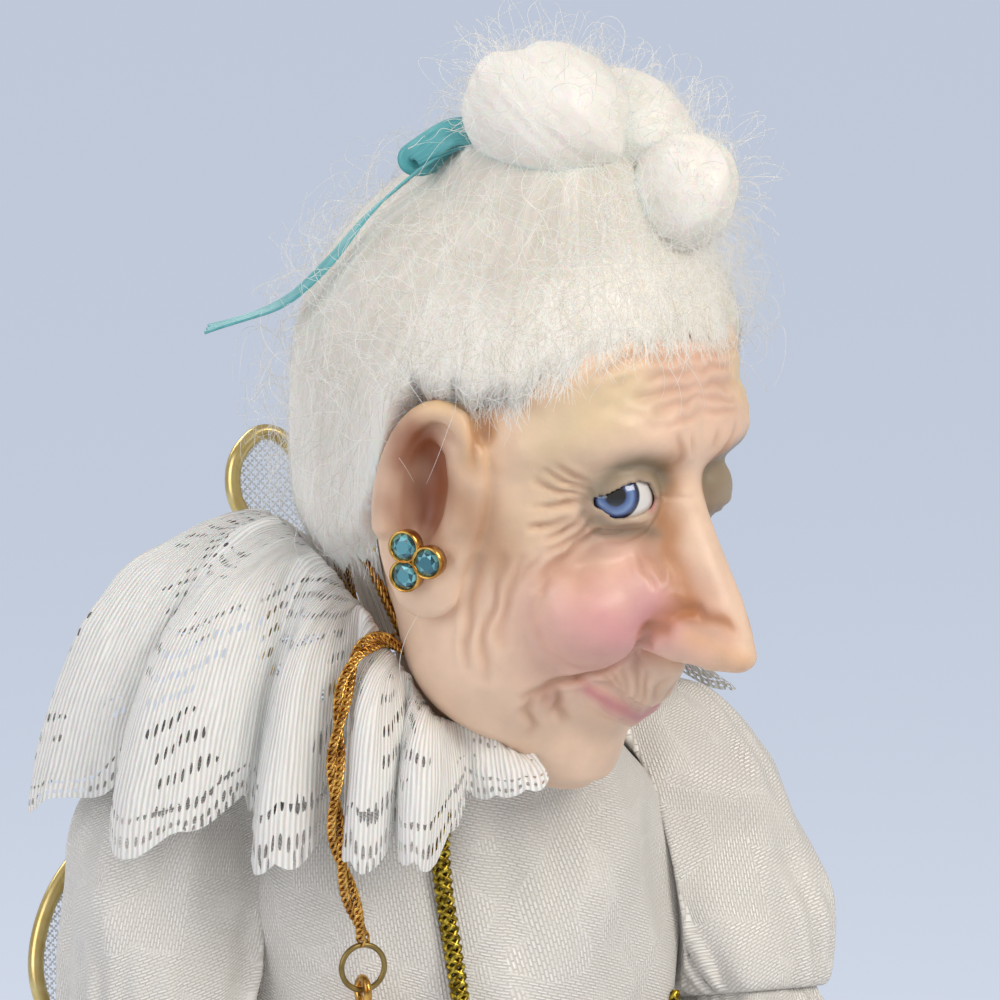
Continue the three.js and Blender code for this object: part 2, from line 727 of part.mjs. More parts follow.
function ear(side) {
  const place = (geometry) =>
    geometry.rotateZ(-side * earFlare).translate(side * earPlace.l, -earPlace.f, earPlace.h);
  const flap = solid(place(ellipsoid(side * 1.2, 0.8, 0, 1.9, 5.4, 9.6, 12, 8)));
  const concha = solid(place(ellipsoid(side * 3.3, -0.1, 0.6, 2, 3.4, 5.6, 10, 6)));
  return flap.subtract(concha);
}

const eyePlace = { f: 13.9, h: 2.9 };

function eyeAt(side, radius) {
  return ellipsoid((side * eyeSpacing) / 2, -eyePlace.f, eyePlace.h, radius, radius, radius, 12, 8);
}

/** Sets a solid in the nodding head's place and bores it for the neck and its peg. */
function bored(body) {
  const bore = (radius, top) => {
    const length = 40;
    const hole = cylinder(radius, length, 20).rotateX(Math.PI / 2);
    return solid(hole.translate(0, 0, top - length / 2));
  };
  return solid(toHead(geometryOf(body)))
    .subtract(bore(neckRadius + clearance + 0.15, neckTop - earHeight + clearance))
    .subtract(bore(pegRadius + clearance, neckTop + pegHeight - earHeight + clearance));
}

function buildHead(group) {
  let body = skull().add(nose());
  for (const side of [1, -1]) {
    const nostrilWing = solid(ellipsoid(side * 3.3, -19.8, -8.3, 2.3, 3.2, 2.2, 8, 6));
    body = body.add(nostrilWing).add(ear(side));
  }
  for (const side of [1, -1]) {
    body = body.subtract(solid(eyeAt(side, eyeRadius + clearance)));
  }
  add("head", clay, bored(body), group);
  for (const [side, name] of [[1, "left"], [-1, "right"]]) {
    add(`eye_${name}`, glassEye, toHead(eyeAt(side, eyeRadius)), group);
  }
}

// Hair: a combed cap, a bun of three rolled curls and the ribbon round its foot

const hairMiddle = { f: -3.6, h: 7.5 };

function hairMass(out) {
  return ellipsoid(
    0, -hairMiddle.f, hairMiddle.h, hairHalfWidth + out, hairHalfDepth + out, hairHalfHeight + out, 24, 14,
  );
}

function faceCutter() {
  const hairline = [
    [40, 16.2], [13, 16.2], [11, 12.8], [8.6, 9.8], [-2.4, 9.9], [-5, 6.8], [-5.6, -3], [-8, -8],
    [-13, -10.5], [-40, -11.5], [-40, -60], [40, -60],
  ];
  const outline = new THREE.Shape(hairline.map(([f, h]) => new THREE.Vector2(-f, h)));
  const across = new THREE.ExtrudeGeometry(outline, { depth: 80, bevelEnabled: false, steps: 1 });
  const axes = [[0, 1, 0], [0, 0, 1], [1, 0, 0]].map((axis) => new THREE.Vector3(...axis));
  return solid(across.translate(0, 0, -40).applyMatrix4(new THREE.Matrix4().makeBasis(...axes)));
}

const curls = [
  // name, place and half sizes of each rolled curl
  ["bun_top", -3.6, -2.6, 33.2, 7.6, 8, 6.6],
  ["bun_middle", 5, -0.6, 31.8, 5.6, 6, 5.4],
  ["bun_front", 3.2, 8.8, 28.8, 4.8, 4.8, 5.6],
];

function curl([, l, f, h, halfL, halfF, halfH], out = 0) {
  return solid(ellipsoid(l, -f, h, halfL + out, halfF + out, halfH + out, 12, 8));
}

const bandHeight = 28.2;

function buildHair(group) {
  const cap = solid(hairMass(0)).subtract(skull(clearance)).subtract(faceCutter());
  const ears = [1, -1].map((side) => ear(side));
  const body = ears.reduce((rest, one) => rest.subtract(one), cap);
  const largest = body.decompose().sort((a, b) => b.volume() - a.volume())[0];
  add("hair_cap", mohair, bored(largest), group);
  const scalp = solid(hairMass(clearance));
  const band = solid(ribbonBand(clearance));
  curls.forEach((one, i) => {
    let lobe = curl(one).subtract(scalp).subtract(band);
    for (const earlier of curls.slice(0, i)) lobe = lobe.subtract(curl(earlier, clearance));
    const main = lobe.decompose().sort((a, b) => b.volume() - a.volume())[0];
    add(one[0], mohair, toHead(geometryOf(main)), group);
  });
}

/** The ribbon tied round the foot of the largest curl. */
function ribbonBand(out) {
  const [, l, f] = curls[0];
  const radius = curls[0][4] - 1.2;
  const half = ribbonThickness / 2 + out;
  const tall = ribbonWidth / 2 + out;
  const corners = [[-half, -tall], [half, -tall], [half, tall], [-half, tall], [-half, -tall]];
  const profile = corners.map(([x, y]) => new THREE.Vector2(radius + x, y));
  const ring = new THREE.LatheGeometry(profile, 20).rotateX(Math.PI / 2);
  return ring.rotateX(-0.18).translate(l, -f, bandHeight);
}

/** A strip of ribbon along a curve, with its flat side turned away from the head's middle. */
function strip(route, width, steps) {
  const curve = curveThrough(route.map(([l, f, h]) => [l, -f, h]));
  const rings = Array.from({ length: steps + 1 }, (_, i) => {
    const centre = curve.getPointAt(i / steps);
    const forward = curve.getTangentAt(i / steps);
    const outward = new THREE.Vector3(centre.x, centre.y, centre.z - hairMiddle.h).normalize();
    const across = forward.clone().cross(outward).normalize();
    const face = across.clone().cross(forward).normalize();
    return [[1, 1], [-1, 1], [-1, -1], [1, -1]].map(([a, b]) =>
      centre
        .clone()
        .addScaledVector(across, (a * width) / 2)
        .addScaledVector(face, (b * ribbonThickness) / 2),
    );
  });
  return loft(rings);
}

const ribbonTail = [
  [-9.6, -9.6, 27.6], [-12, -11, 25], [-14, -12.8, 21.6], [-16, -14.4, 17.4], [-16.6, -17.6, 13.2],
  [-16, -22, 10.2], [-16.4, -27, 7.4],
];

function buildRibbon(group) {
  const scalp = solid(hairMass(clearance));
  const first = curl(curls[0], clearance);
  const band = solid(ribbonBand(0)).subtract(scalp);
  const tie = band.decompose().sort((a, b) => b.volume() - a.volume())[0];
  add("ribbon_band", turquoise, toHead(geometryOf(tie)), group);
  const knot = solid(ellipsoid(-7.2, 8.2, 29.2, 2.1, 2.1, 1.8, 10, 6));
  const bow = knot.subtract(scalp).subtract(first).subtract(solid(ribbonBand(clearance)));
  const main = bow.decompose().sort((a, b) => b.volume() - a.volume())[0];
  add("ribbon_bow", turquoise, toHead(geometryOf(main)), group);
  const tail = solid(strip(ribbonTail, ribbonWidth * 0.7, 16)).subtract(solid(hairMass(clearance))).subtract(
    solid(ellipsoid(-7.2, 8.2, 29.2, 2.1 + clearance, 2.1 + clearance, 1.8 + clearance, 10, 6)),
  );
  const longest = tail.decompose().sort((a, b) => b.volume() - a.volume())[0];
  add("ribbon_tail", turquoise, toHead(geometryOf(longest)), group);
}

// Earrings: a gold three-lobed bezel with three faceted stones

const earring = { l: earPlace.l + 3.5, f: 2.9, h: -5.6 };

function stone() {
  const girdle = stoneRadius;
  const profile = [[0, -0.5], [girdle * 0.75, -0.4], [girdle, 0], [girdle * 0.62, 0.42], [0, 0.42]];
  return new THREE.LatheGeometry(profile.map(([x, y]) => new THREE.Vector2(x, y)), 8);
}

function buildEarring(side, name, group) {
  const outward = -side * (Math.PI / 2 + 0.25);
  const place = (geometry) =>
    toHead(geometry.rotateZ(outward).translate(side * earring.l, -earring.f, earring.h));
  const seats = [0, 1, 2].map((k) => {
    const angle = (2 * Math.PI * k) / 3 + 0.21;
    return [side * stonePitch * Math.cos(angle), stonePitch * Math.sin(angle)];
  });
  let bezel = null;
  for (const [x, z] of seats) {
    const cup = solid(cylinder(stoneRadius + bezelWall + clearance, bezelThickness, 10).translate(x, 0, z));
    bezel = bezel ? bezel.add(cup) : cup;
  }
  for (const [x, z] of seats) {
    const recess = cylinder(stoneRadius + clearance, bezelThickness, 10);
    bezel = bezel.subtract(solid(recess.translate(x, bezelThickness * 0.45, z)));
  }
  add(`earring_bezel_${name}`, gold, place(geometryOf(bezel)), group);
  seats.forEach(([x, z], k) => {
    const lift = -bezelThickness / 2 + bezelThickness * 0.45 + 0.5 + clearance;
    const cut = geometryOf(solid(stone())).translate(x, lift, z);
    add(`earring_stone_${name}_${k + 1}`, crystal, place(cut), group);
  });
}

// Lace collar: a gathered strip round the neck, open at the front

const collarStart = THREE.MathUtils.degToRad(10);
const collarEnd = THREE.MathUtils.degToRad(262);
const collarMiddleY = -0.55 * neckLean;

const collarShape = stations([
  // share of the way round, share of the width, height of the gathers, rise, droop, distance out
  [0, 0.3, -1.6, -1.2, 4.5, 2.6],
  [0.071, 0.32, 0.4, 0.4, 7, 1.4],
  [0.139, 0.34, 1.3, 1.8, 10, 0.2],
  [0.206, 0.42, 1.5, 4.5, 14, 0],
  [0.278, 0.8, 1.8, 10.5, 17, 0],
  [0.357, 1, 2.6, 12.5, 18, 0],
  [0.476, 0.84, 4.4, 11.5, 11, 0],
  [0.615, 0.52, 5.4, 8, 5, 0],
  [0.754, 0.5, 4.6, 6, 4.4, 0],
  [0.893, 0.54, 2.6, 5.6, 4.4, 0],
  [1, 0.52, 1.6, 4, 4, 0],
]);

function collarPoint(u, v) {
  const angle = THREE.MathUtils.lerp(collarStart, collarEnd, u);
  const [share, gather, rise, droop, out] = collarShape(THREE.MathUtils.clamp(u, 0, 1));
  const fold = collarFoldDepth * v ** 0.8 * Math.cos(2 * Math.PI * collarFolds * u);
  const radius = collarInnerRadius + out + share * collarWidth * (1 - (1 - v) ** 1.5);
  const climb = Math.sin((Math.PI / 2) * Math.min(v / 0.55, 1));
  const fall = Math.max(0, (v - 0.45) / 0.55) ** 1.7;
  const swing = 0.05 * v * Math.sin(4 * Math.PI * collarFolds * u);
  return new THREE.Vector3(
    -radius * Math.sin(angle + swing),
    collarMiddleY - radius * Math.cos(angle + swing),
    neckline + gather + rise * climb - droop * fall + fold,
  );
}

function buildCollar() {
  add("lace_collar", lace, sheet(75, 3, laceThickness, collarPoint, false));
}

// Necklace: a chain round the neck whose two ends hang twisted together to a jump ring and a pendant

const twoStrands = (angle) => chainRadius * (0.78 + 0.22 * Math.cos(2 * angle));
const chainDropX = -14.6;
const chainDropY = -17.4;
const ringTop = neckline + 5.4 - chainDropLength;

function buildNecklace() {
  const loopRadius = neckRadius + 0.5 + 2 * clearance + chainRadius;
  const loop = Array.from({ length: 12 }, (_, k) => {
    const angle = (2 * Math.PI * k) / 12;
    const z = neckline + 3.2 + 1.6 * (1 - Math.cos(angle));
    return [loopRadius * Math.sin(angle), neckAxisY - loopRadius * Math.cos(angle), z];
  });
  add("neck_chain", gold, sweep(curveThrough(loop, true), 40, 6, twoStrands, 3, true));
  const start = loopRadius + 0.7 * chainRadius + clearance;
  const drop = [
    [-start * 0.83, neckAxisY - start * 0.56, neckline + 3.9],
    [-11.4, -14.2, neckline + 6.8],
    [-14.2, -15.6, neckline + 7],
    [-16.6, -17.6, neckline + 4.2],
    [-17.8, -19, neckline - 2],
    [-17.4, -18.8, neckline - 9],
    [chainDropX, chainDropY, ringTop + clearance],
  ];
  add("chain_drop", gold, sweep(curveThrough(drop), 40, 6, twoStrands, chainTwists / 6, false));
  const ring = new THREE.TorusGeometry(jumpRingRadius, jumpRingWire, 5, 16).rotateX(Math.PI / 2);
  add("jump_ring", gold, ring.translate(chainDropX, chainDropY, ringTop - jumpRingRadius - jumpRingWire));
}

const pendantHinge = ringTop - 2 * jumpRingRadius - jumpRingWire;

function buildPendant() {
  const bailRadius = 1.2;
  const bailWire = 0.38;
  const bailMiddle = pendantHinge + jumpRingWire + clearance + bailWire - bailRadius;
  const bail = new THREE.TorusGeometry(bailRadius, bailWire, 5, 12).rotateY(Math.PI / 2);
  const half = pendantThickness / 2;
  const profile = new THREE.Path();
  profile.moveTo(0, -half);
  profile.lineTo(pendantRadius * 0.8, -half);
  profile.quadraticCurveTo(pendantRadius, -half, pendantRadius, 0);
  profile.quadraticCurveTo(pendantRadius, half, pendantRadius * 0.8, half);
  profile.lineTo(pendantRadius * 0.72, half * 0.6);
  profile.lineTo(0, half);
  const disc = new THREE.LatheGeometry(profile.getPoints(2), 14);
  const discMiddle = bailMiddle - bailRadius - pendantRadius + bailWire;
  const body = solid(bail.translate(0, 0, bailMiddle)).add(solid(disc.translate(0, 0, discMiddle)));
  add("pendant", gold, geometryOf(body).translate(chainDropX, chainDropY, 0));
}

// Gold braid down the bodice: one along its front edge and one down its left side

function buildTrims() {
  const lift = bodiceCloth / 2 + trimRadius + clearance;
  const rows = [
    // name, angle from the front at the waist and at the top, share of the height where it ends
    ["left", 0.9, 1.02, 0.54],
    ["right", -0.26, -0.42, 0.9],
  ];
  for (const [name, low, high, end] of rows) {
    const route = [0.03, 0.22, 0.44, 0.66, 0.86, 1].map((share) =>
      bodicePoint(THREE.MathUtils.lerp(low, high, share), along(share * end), lift).toArray(),
    );
    add(`braid_trim_${name}`, goldBraid, sweep(curveThrough(route), 16, 6, () => trimRadius, 0, false));
  }
}

// Wings: a loop of gold wire filled with net, on a stem that is sewn to the back

const wingPlate = { half: 5.4, tall: 8, thick: 1.6, foot: 1.2 };
const wingRootZ = neckline - wingRootDrop;

// The wire's course from the root: shares of the reach to the side, and of the rise or the drop
const wingCourse = [
  [0, 0], [-0.02, 0.32], [-0.03, 0.64], [-0.015, 0.85], [0.055, 0.97], [0.145, 1], [0.23, 0.945],
  [0.245, 0.86], [0.185, 0.765], [0.15, 0.62], [0.22, 0.41], [0.44, 0.275], [0.72, 0.165], [0.93, 0.01],
  [1, -0.4], [0.885, -0.81], [0.655, -1], [0.395, -0.865], [0.17, -0.47],
];

function wingOutline() {
  const points = wingCourse.map(([out, up]) => [out * wingReach, up * (up > 0 ? wingRise : wingDrop), 0]);
  return curveThrough(points, true);
}

/** The same outline drawn in by the wire and a gap. */
function netEdge(outline, share) {
  const way = outline.getTangentAt(share);
  const inward = new THREE.Vector3(way.y, -way.x, 0);
  return outline.getPointAt(share).addScaledVector(inward, wingWire + 1.5 * clearance);
}

function backAt(z) {
  return bodicePoint(Math.PI, z, bodiceCloth / 2).y;
}

function buildWings() {
  const plateZ = wingRootZ + wingPlate.tall / 2 - wingPlate.foot;
  const levels = [-0.5, -0.25, 0, 0.25, 0.5].map((share) => plateZ + share * wingPlate.tall);
  const back = Math.max(...levels.map(backAt));
  const plateY = back + clearance + wingPlate.thick / 2;
  const plate = new THREE.BoxGeometry(2 * wingPlate.half, wingPlate.thick, wingPlate.tall);
  add("wing_plate", muslin, plate.translate(0, plateY, plateZ));
  for (const [side, name] of [[1, "left"], [-1, "right"]]) {
    const rootY = plateY + wingPlate.thick / 2 + clearance + wingWire;
    const rootX = side * (wingPlate.half - 2.2);
    const place = (geometry) =>
      geometry
        .scale(side, 1, 1)
        .rotateX(Math.PI / 2 - THREE.MathUtils.degToRad(wingLeanBack))
        .translate(rootX, rootY, wingRootZ);
    const outline = wingOutline();
    add(`wing_frame_${name}`, gold, place(sweep(outline, 56, 5, () => wingWire, 0, true)));
    const inside = Array.from({ length: 53 }, (_, k) => netEdge(outline, 0.03 + (0.94 * k) / 52));
    const shape = new THREE.Shape(inside.map((p) => new THREE.Vector2(p.x, p.y)));
    const web = new THREE.ExtrudeGeometry(shape, { depth: wingNetThickness, bevelEnabled: false, steps: 1 });
    add(`wing_net_${name}`, net, place(web.translate(0, 0, -wingNetThickness / 2)));
  }
}

buildBase();
buildRod();
buildLegs();
buildTorso();
buildBodice();
buildSkirt();
buildNeck();
buildArm(1, "left", leftArmRaise);
buildArm(-1, "right", rightArmRaise);
buildCollar();
buildNecklace();
buildPendant();
buildTrims();
buildWings();

const head = new THREE.Group();
head.position.set(0, neckAxisY, earHeight);
head.rotation.z = THREE.MathUtils.degToRad(headTurn);
doll.add(head);
buildHead(head);
buildHair(head);
buildRibbon(head);
buildEarring(1, "left", head);
buildEarring(-1, "right", head);

export default doll;
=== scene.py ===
import math

import bmesh
import bpy
import numpy as np
import openvdb
from mathutils import Matrix, Vector
from mathutils.bvhtree import BVHTree


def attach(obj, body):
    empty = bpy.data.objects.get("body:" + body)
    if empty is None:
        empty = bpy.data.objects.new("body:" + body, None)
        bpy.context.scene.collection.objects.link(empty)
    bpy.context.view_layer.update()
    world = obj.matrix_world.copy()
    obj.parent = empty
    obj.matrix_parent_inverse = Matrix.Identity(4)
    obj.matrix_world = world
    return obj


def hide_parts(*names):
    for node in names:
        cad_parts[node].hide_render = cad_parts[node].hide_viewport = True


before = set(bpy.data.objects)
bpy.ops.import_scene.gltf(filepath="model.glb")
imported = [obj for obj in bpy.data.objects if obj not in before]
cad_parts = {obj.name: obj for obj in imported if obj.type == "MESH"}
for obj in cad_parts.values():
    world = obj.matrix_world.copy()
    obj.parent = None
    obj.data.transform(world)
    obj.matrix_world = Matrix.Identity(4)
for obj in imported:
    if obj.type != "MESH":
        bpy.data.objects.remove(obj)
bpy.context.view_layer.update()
scene = bpy.context.scene
MM = 0.001

# Camera, floor and light
# A long lens at the height of the doll's face, a pale floor that runs out of the picture,
# and two large soft lamps with an even sky.


def linear(code):
    """A colour written as sRGB hex, in linear light."""
    parts = [int(code[i:i + 2], 16) / 255 for i in (1, 3, 5)]
    return [c / 12.92 if c <= 0.04045 else ((c + 0.055) / 1.055) ** 2.4 for c in parts]


def rgba(code):
    """The same with full opacity, as colour sockets take it."""
    return (*linear(code), 1)


def add_node(tree, kind, inputs=None, to=None, **settings):
    """One node with its settings and links: inputs are values or sockets, and to is the socket it feeds."""
    made = tree.nodes.new(kind)
    for name, value in settings.items():
        setattr(made, name, value)
    for name, value in (inputs or {}).items():
        if isinstance(value, bpy.types.NodeSocket):
            tree.links.new(value, made.inputs[name])
        else:
            made.inputs[name].default_value = value
    if to:
        tree.links.new(next(one for one in made.outputs if one.enabled), to)
    return made


view_right = Vector((0.92718, -0.37461, 0.0))
view_up = Vector((0.05213, 0.12904, 0.99027))
view_back = Vector((-0.37096, -0.91816, 0.13917))
view_middle = Vector((0.718, -12.174, 255.772)) * MM
camera_distance = 0.7
camera = bpy.data.objects.new("camera", bpy.data.cameras.new("camera"))
camera.data.sensor_width = 36
camera.data.lens = 280
camera.data.clip_start = 0.01
camera.data.clip_end = 100
turn = Matrix((view_right, view_up, view_back)).transposed()
camera.matrix_world = Matrix.Translation(view_middle + view_back * camera_distance) @ turn.to_4x4()
scene.collection.objects.link(camera)
scene.camera = camera
scene.view_settings.view_transform = "Standard"

floor_half = 12.0
floor_mesh = bpy.data.meshes.new("floor")
corners = [(floor_half * x, floor_half * y, 0) for x, y in [(-1, -1), (1, -1), (1, 1), (-1, 1)]]
floor_mesh.from_pydata(corners, [], [(0, 1, 2, 3)])
floor = bpy.data.objects.new("floor", floor_mesh)
scene.collection.objects.link(floor)

# Painted board: matt and pale, and what the camera and metal see of it is lifted evenly.
floor_paint = bpy.data.materials.new("painted board")
floor_paint.use_nodes = True
tree = floor_paint.node_tree
tree.nodes.clear()
rays = add_node(tree, "ShaderNodeLightPath")
seen = add_node(
    tree, "ShaderNodeMath", {0: rays.outputs["Is Camera Ray"], 1: rays.outputs["Is Glossy Ray"]},
    operation="MAXIMUM"
)
seen = add_node(
    tree, "ShaderNodeMath", {0: seen.outputs[0], 1: rays.outputs["Is Transmission Ray"]},
    operation="MAXIMUM"
)
lift = add_node(tree, "ShaderNodeMath", {0: seen.outputs[0], 1: 0.5}, operation="MULTIPLY")
matt = add_node(tree, "ShaderNodeBsdfDiffuse", {"Color": rgba("#d3d6dc")})
glow = add_node(tree, "ShaderNodeEmission", {"Color": rgba("#a9bddc"), "Strength": lift.outputs[0]})
both = add_node(tree, "ShaderNodeAddShader", {0: matt.outputs[0], 1: glow.outputs[0]})
add_node(tree, "ShaderNodeOutputMaterial", {"Surface": both.outputs[0]})
floor.data.materials.append(floor_paint)

sky = bpy.data.worlds.new("even sky")
sky.use_nodes = True
sky.node_tree.nodes["Background"].inputs["Color"].default_value = rgba("#fdfaf6")
sky.node_tree.nodes["Background"].inputs["Strength"].default_value = 0.5
scene.world = sky

lamps = [
    # name, place in metres, width in metres, watts, colour
    ("key lamp", (0.35, -0.75, 0.85), 0.5, 5.3, "#fff8ee"),
    ("fill lamp", (-0.95, -0.35, 0.6), 0.7, 3.2, "#fbfaff"),
    ("back lamp", (-0.3, 0.8, 0.8), 0.5, 2.4, "#ffffff"),
]
for name, place, width, watts, colour in lamps:
    lamp = bpy.data.lights.new(name, "AREA")
    lamp.size = width
    lamp.energy = watts
    lamp.color = linear(colour)
    lamp_object = bpy.data.objects.new(name, lamp)
    aim = Vector((0, -0.01, 0.22)) - Vector(place)
    lamp_object.matrix_world = Matrix.Translation(place) @ aim.to_track_quat("-Z", "Y").to_matrix().to_4x4()
    scene.collection.objects.link(lamp_object)

# Turned base and support rod
# A walnut disc turned with a cove and a bead, varnished; a plain steel rod is glued into its middle
# and carries the doll.


def finish(name, colour, roughness, **sockets):
    """A material of one plain shader, and its node tree and shader."""
    made = bpy.data.materials.new(name)
    made.use_nodes = True
    shader = made.node_tree.nodes["Principled BSDF"]
    values = {"Base Color": rgba(colour), "Roughness": roughness, **sockets}
    for socket, value in values.items():
        shader.inputs[socket.replace("_", " ")].default_value = value
    return made, made.node_tree, shader


def set_stops(ramp_node, stops):
    """Places and colours along a ramp, which starts with a first and a last stop."""
    elements = ramp_node.color_ramp.elements
    for k, (position, code) in enumerate(stops):
        last = k == len(stops) - 1
        stop = elements[0] if k == 0 else elements[-1] if last else elements.new(position)
        stop.position = position
        stop.color = rgba(code)


def dress(node_names, material):
    """Gives CAD nodes that keep their solid a material."""
    for name in node_names:
        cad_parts[name].data.materials.clear()
        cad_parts[name].data.materials.append(material)


# Walnut under varnish: long brown grain about 4 mm apart with fine pores, and a soft shine.
walnut, tree, shader = finish("varnished walnut", "#5d3c26", 0.32, Coat_Weight=0.4, Coat_Roughness=0.12)
place = add_node(tree, "ShaderNodeTexCoord").outputs["Object"]
grain_turn = add_node(
    tree, "ShaderNodeMapping", {"Vector": place, "Rotation": (0, 0, 0.4), "Scale": (1, 0.12, 1)}
)
grain = add_node(
    tree, "ShaderNodeTexNoise",
    {"Vector": grain_turn.outputs[0], "Scale": 260.0, "Detail": 6.0, "Distortion": 0.6}
)
grain_colour = add_node(
    tree, "ShaderNodeValToRGB", {"Fac": grain.outputs["Fac"]}, to=shader.inputs["Base Color"]
)
set_stops(grain_colour, [(0.35, "#3a2415"), (0.68, "#7d5233")])
add_node(
    tree, "ShaderNodeBump", {"Height": grain.outputs["Fac"], "Strength": 0.12, "Distance": 0.0004},
    to=shader.inputs["Normal"]
)

# The CAD base is turned in 32 flats, so a merged copy of it is shaded round.
base = bpy.data.objects.new("walnut_base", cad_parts["stand_base"].data.copy())
scene.collection.objects.link(base)
merged = bmesh.new()
merged.from_mesh(base.data)
bmesh.ops.remove_doubles(merged, verts=merged.verts, dist=1e-6)
merged.to_mesh(base.data)
merged.free()
base.data.materials.clear()
base.data.materials.append(walnut)
base.data.shade_smooth()
base.data.set_sharp_from_angle(angle=math.radians(32))
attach(base, "figure")
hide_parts("stand_base")

# Drawn steel wire: fine lengthwise draw marks in the roughness.
steel, tree, shader = finish("drawn steel", "#b4b6b8", 0.3, Metallic=1.0)
place = add_node(tree, "ShaderNodeTexCoord").outputs["Object"]
draw_turn = add_node(tree, "ShaderNodeMapping", {"Vector": place, "Scale": (1, 1, 0.02)})
draw = add_node(tree, "ShaderNodeTexNoise", {"Vector": draw_turn.outputs[0], "Scale": 2500.0, "Detail": 3.0})
add_node(
    tree, "ShaderNodeMapRange", {"Value": draw.outputs["Fac"], "To Min": 0.2, "To Max": 0.45},
    to=shader.inputs["Roughness"]
)
dress(["support_rod", "arm_pin_left", "arm_pin_right"], steel)

# Shoes and stuffed legs
# Soft glove-leather slippers on legs of unbleached cotton, sewn and stuffed with wadding;
# the skirt hides them.


def settle(made):
    """Turns what an object's modifiers make of it into its plain mesh."""
    graph = bpy.context.evaluated_depsgraph_get()
    plain = bpy.data.meshes.new_from_object(made.evaluated_get(graph))
    made.modifiers.clear()
    made.data = plain
    return plain


def stuffed(name, node, material, grain_size, smooth_steps):
    """A rounded, stuffed copy of a CAD node, with its corners and facets eased away."""
    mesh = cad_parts[node].data.copy()
    made = bpy.data.objects.new(name, mesh)
    scene.collection.objects.link(made)
    made.matrix_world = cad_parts[node].matrix_world
    weld = made.modifiers.new("weld", "WELD")
    weld.merge_threshold = 1e-6
    remesh = made.modifiers.new("remesh", "REMESH")
    remesh.mode = "VOXEL"
    remesh.voxel_size = grain_size * MM
    ease = made.modifiers.new("ease", "SMOOTH")
    ease.factor = 0.5
    ease.iterations = smooth_steps
    bpy.context.view_layer.update()
    rounded = settle(made)
    rounded.transform(made.matrix_world)
    made.matrix_world = Matrix()
    rounded.materials.clear()
    rounded.materials.append(material)
    rounded.shade_smooth()
    return made


# Unbleached cotton: a plain weave of 0.5 mm threads, drawn a little coarse so that it shows.
muslin, tree, shader = finish("unbleached cotton", "#e6dac4", 0.9, Sheen_Weight=0.25)
place = add_node(tree, "ShaderNodeTexCoord").outputs["Object"]
thread = add_node(tree, "ShaderNodeTexVoronoi", {"Vector": place, "Scale": 2000.0})
add_node(
    tree, "ShaderNodeBump", {"Height": thread.outputs["Distance"], "Strength": 0.35, "Distance": 0.0002},
    to=shader.inputs["Normal"]
)
tint = add_node(tree, "ShaderNodeTexNoise", {"Vector": place, "Scale": 120.0})
add_node(
    tree, "ShaderNodeMix", {"Factor": tint.outputs["Fac"], "A": rgba("#dccdb2"), "B": rgba("#efe5d2")},
    to=shader.inputs["Base Color"], data_type="RGBA"
)

# Glove leather: soft, with a fine pebble of about 0.4 mm.
leather, tree, shader = finish("ivory glove leather", "#e2d6c2", 0.5)
place = add_node(tree, "ShaderNodeTexCoord").outputs["Object"]
pebble = add_node(tree, "ShaderNodeTexVoronoi", {"Vector": place, "Scale": 1600.0})
add_node(
    tree, "ShaderNodeBump", {"Height": pebble.outputs["Distance"], "Strength": 0.25, "Distance": 0.0002},
    to=shader.inputs["Normal"]
)

for side in ("left", "right"):
    slipper = stuffed(f"slipper_{side}", f"shoe_{side}", leather, 0.6, 6)
    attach(slipper, "figure")
    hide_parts(f"shoe_{side}")
    calf = stuffed(f"stuffed_leg_{side}", f"leg_{side}", muslin, 0.8, 8)
    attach(calf, "figure")
    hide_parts(f"leg_{side}")

# Stuffed body, upper arms and the patch for the wings
# The cotton body carries everything else; the upper arms hang on steel pins, and a stiff felted patch
# is stitched to the back for the wing stems.

body_cloth = stuffed("stuffed_body", "torso", muslin, 0.9, 6)
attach(body_cloth, "figure")
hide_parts("torso")
for side in ("left", "right"):
    upper = stuffed(f"stuffed_upper_arm_{side}", f"upper_arm_{side}", muslin, 0.5, 4)
    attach(upper, f"arm_{side}")
    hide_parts(f"upper_arm_{side}")
dress(["wing_plate"], muslin)

# Bodice
# Ivory jacquard satin, cut close over the stuffed body and sewn up the back, with an armhole at each side.

waist_height, neckline = 178.0, 235.0
armhole_plane = 21.6
arm_pin_place = np.array([0.0, 2.0, 224.0])
armhole_radius = 5.5
bodice_power = 2.25
waist_lap = 0.15


def full_turn(count):
    """Evenly spaced angles once round."""
    return np.linspace(0, 2 * np.pi, count, endpoint=False)


def xyz(x, y, z):
    """Points from their three coordinates."""
    return np.stack([x, y, z], axis=-1)


def stations(rows):
    """A smooth function through rows of a place, in rising order, and the values there."""
    table = np.array(rows, float)
    place, value = table[:, 0], table[:, 1:]
    last = len(place) - 1
    before, after = np.maximum(np.arange(last + 1) - 1, 0), np.minimum(np.arange(last + 1) + 1, last)
    slope = (value[after] - value[before]) / (place[after] - place[before])[:, None]

    def at(where):
        where = np.clip(np.asarray(where, float), place[0], place[-1])
        i = np.clip(np.searchsorted(place, where, side="right") - 1, 0, last - 1)
        span = (place[i + 1] - place[i])[..., None]
        t = (where - place[i])[..., None] / span
        rest = 3 * t ** 2 - 2 * t ** 3
        bend = span * ((t ** 3 - 2 * t ** 2 + t) * slope[i] + (t ** 3 - t ** 2) * slope[i + 1])
        return (1 - rest) * value[i] + rest * value[i + 1] + bend

    return at


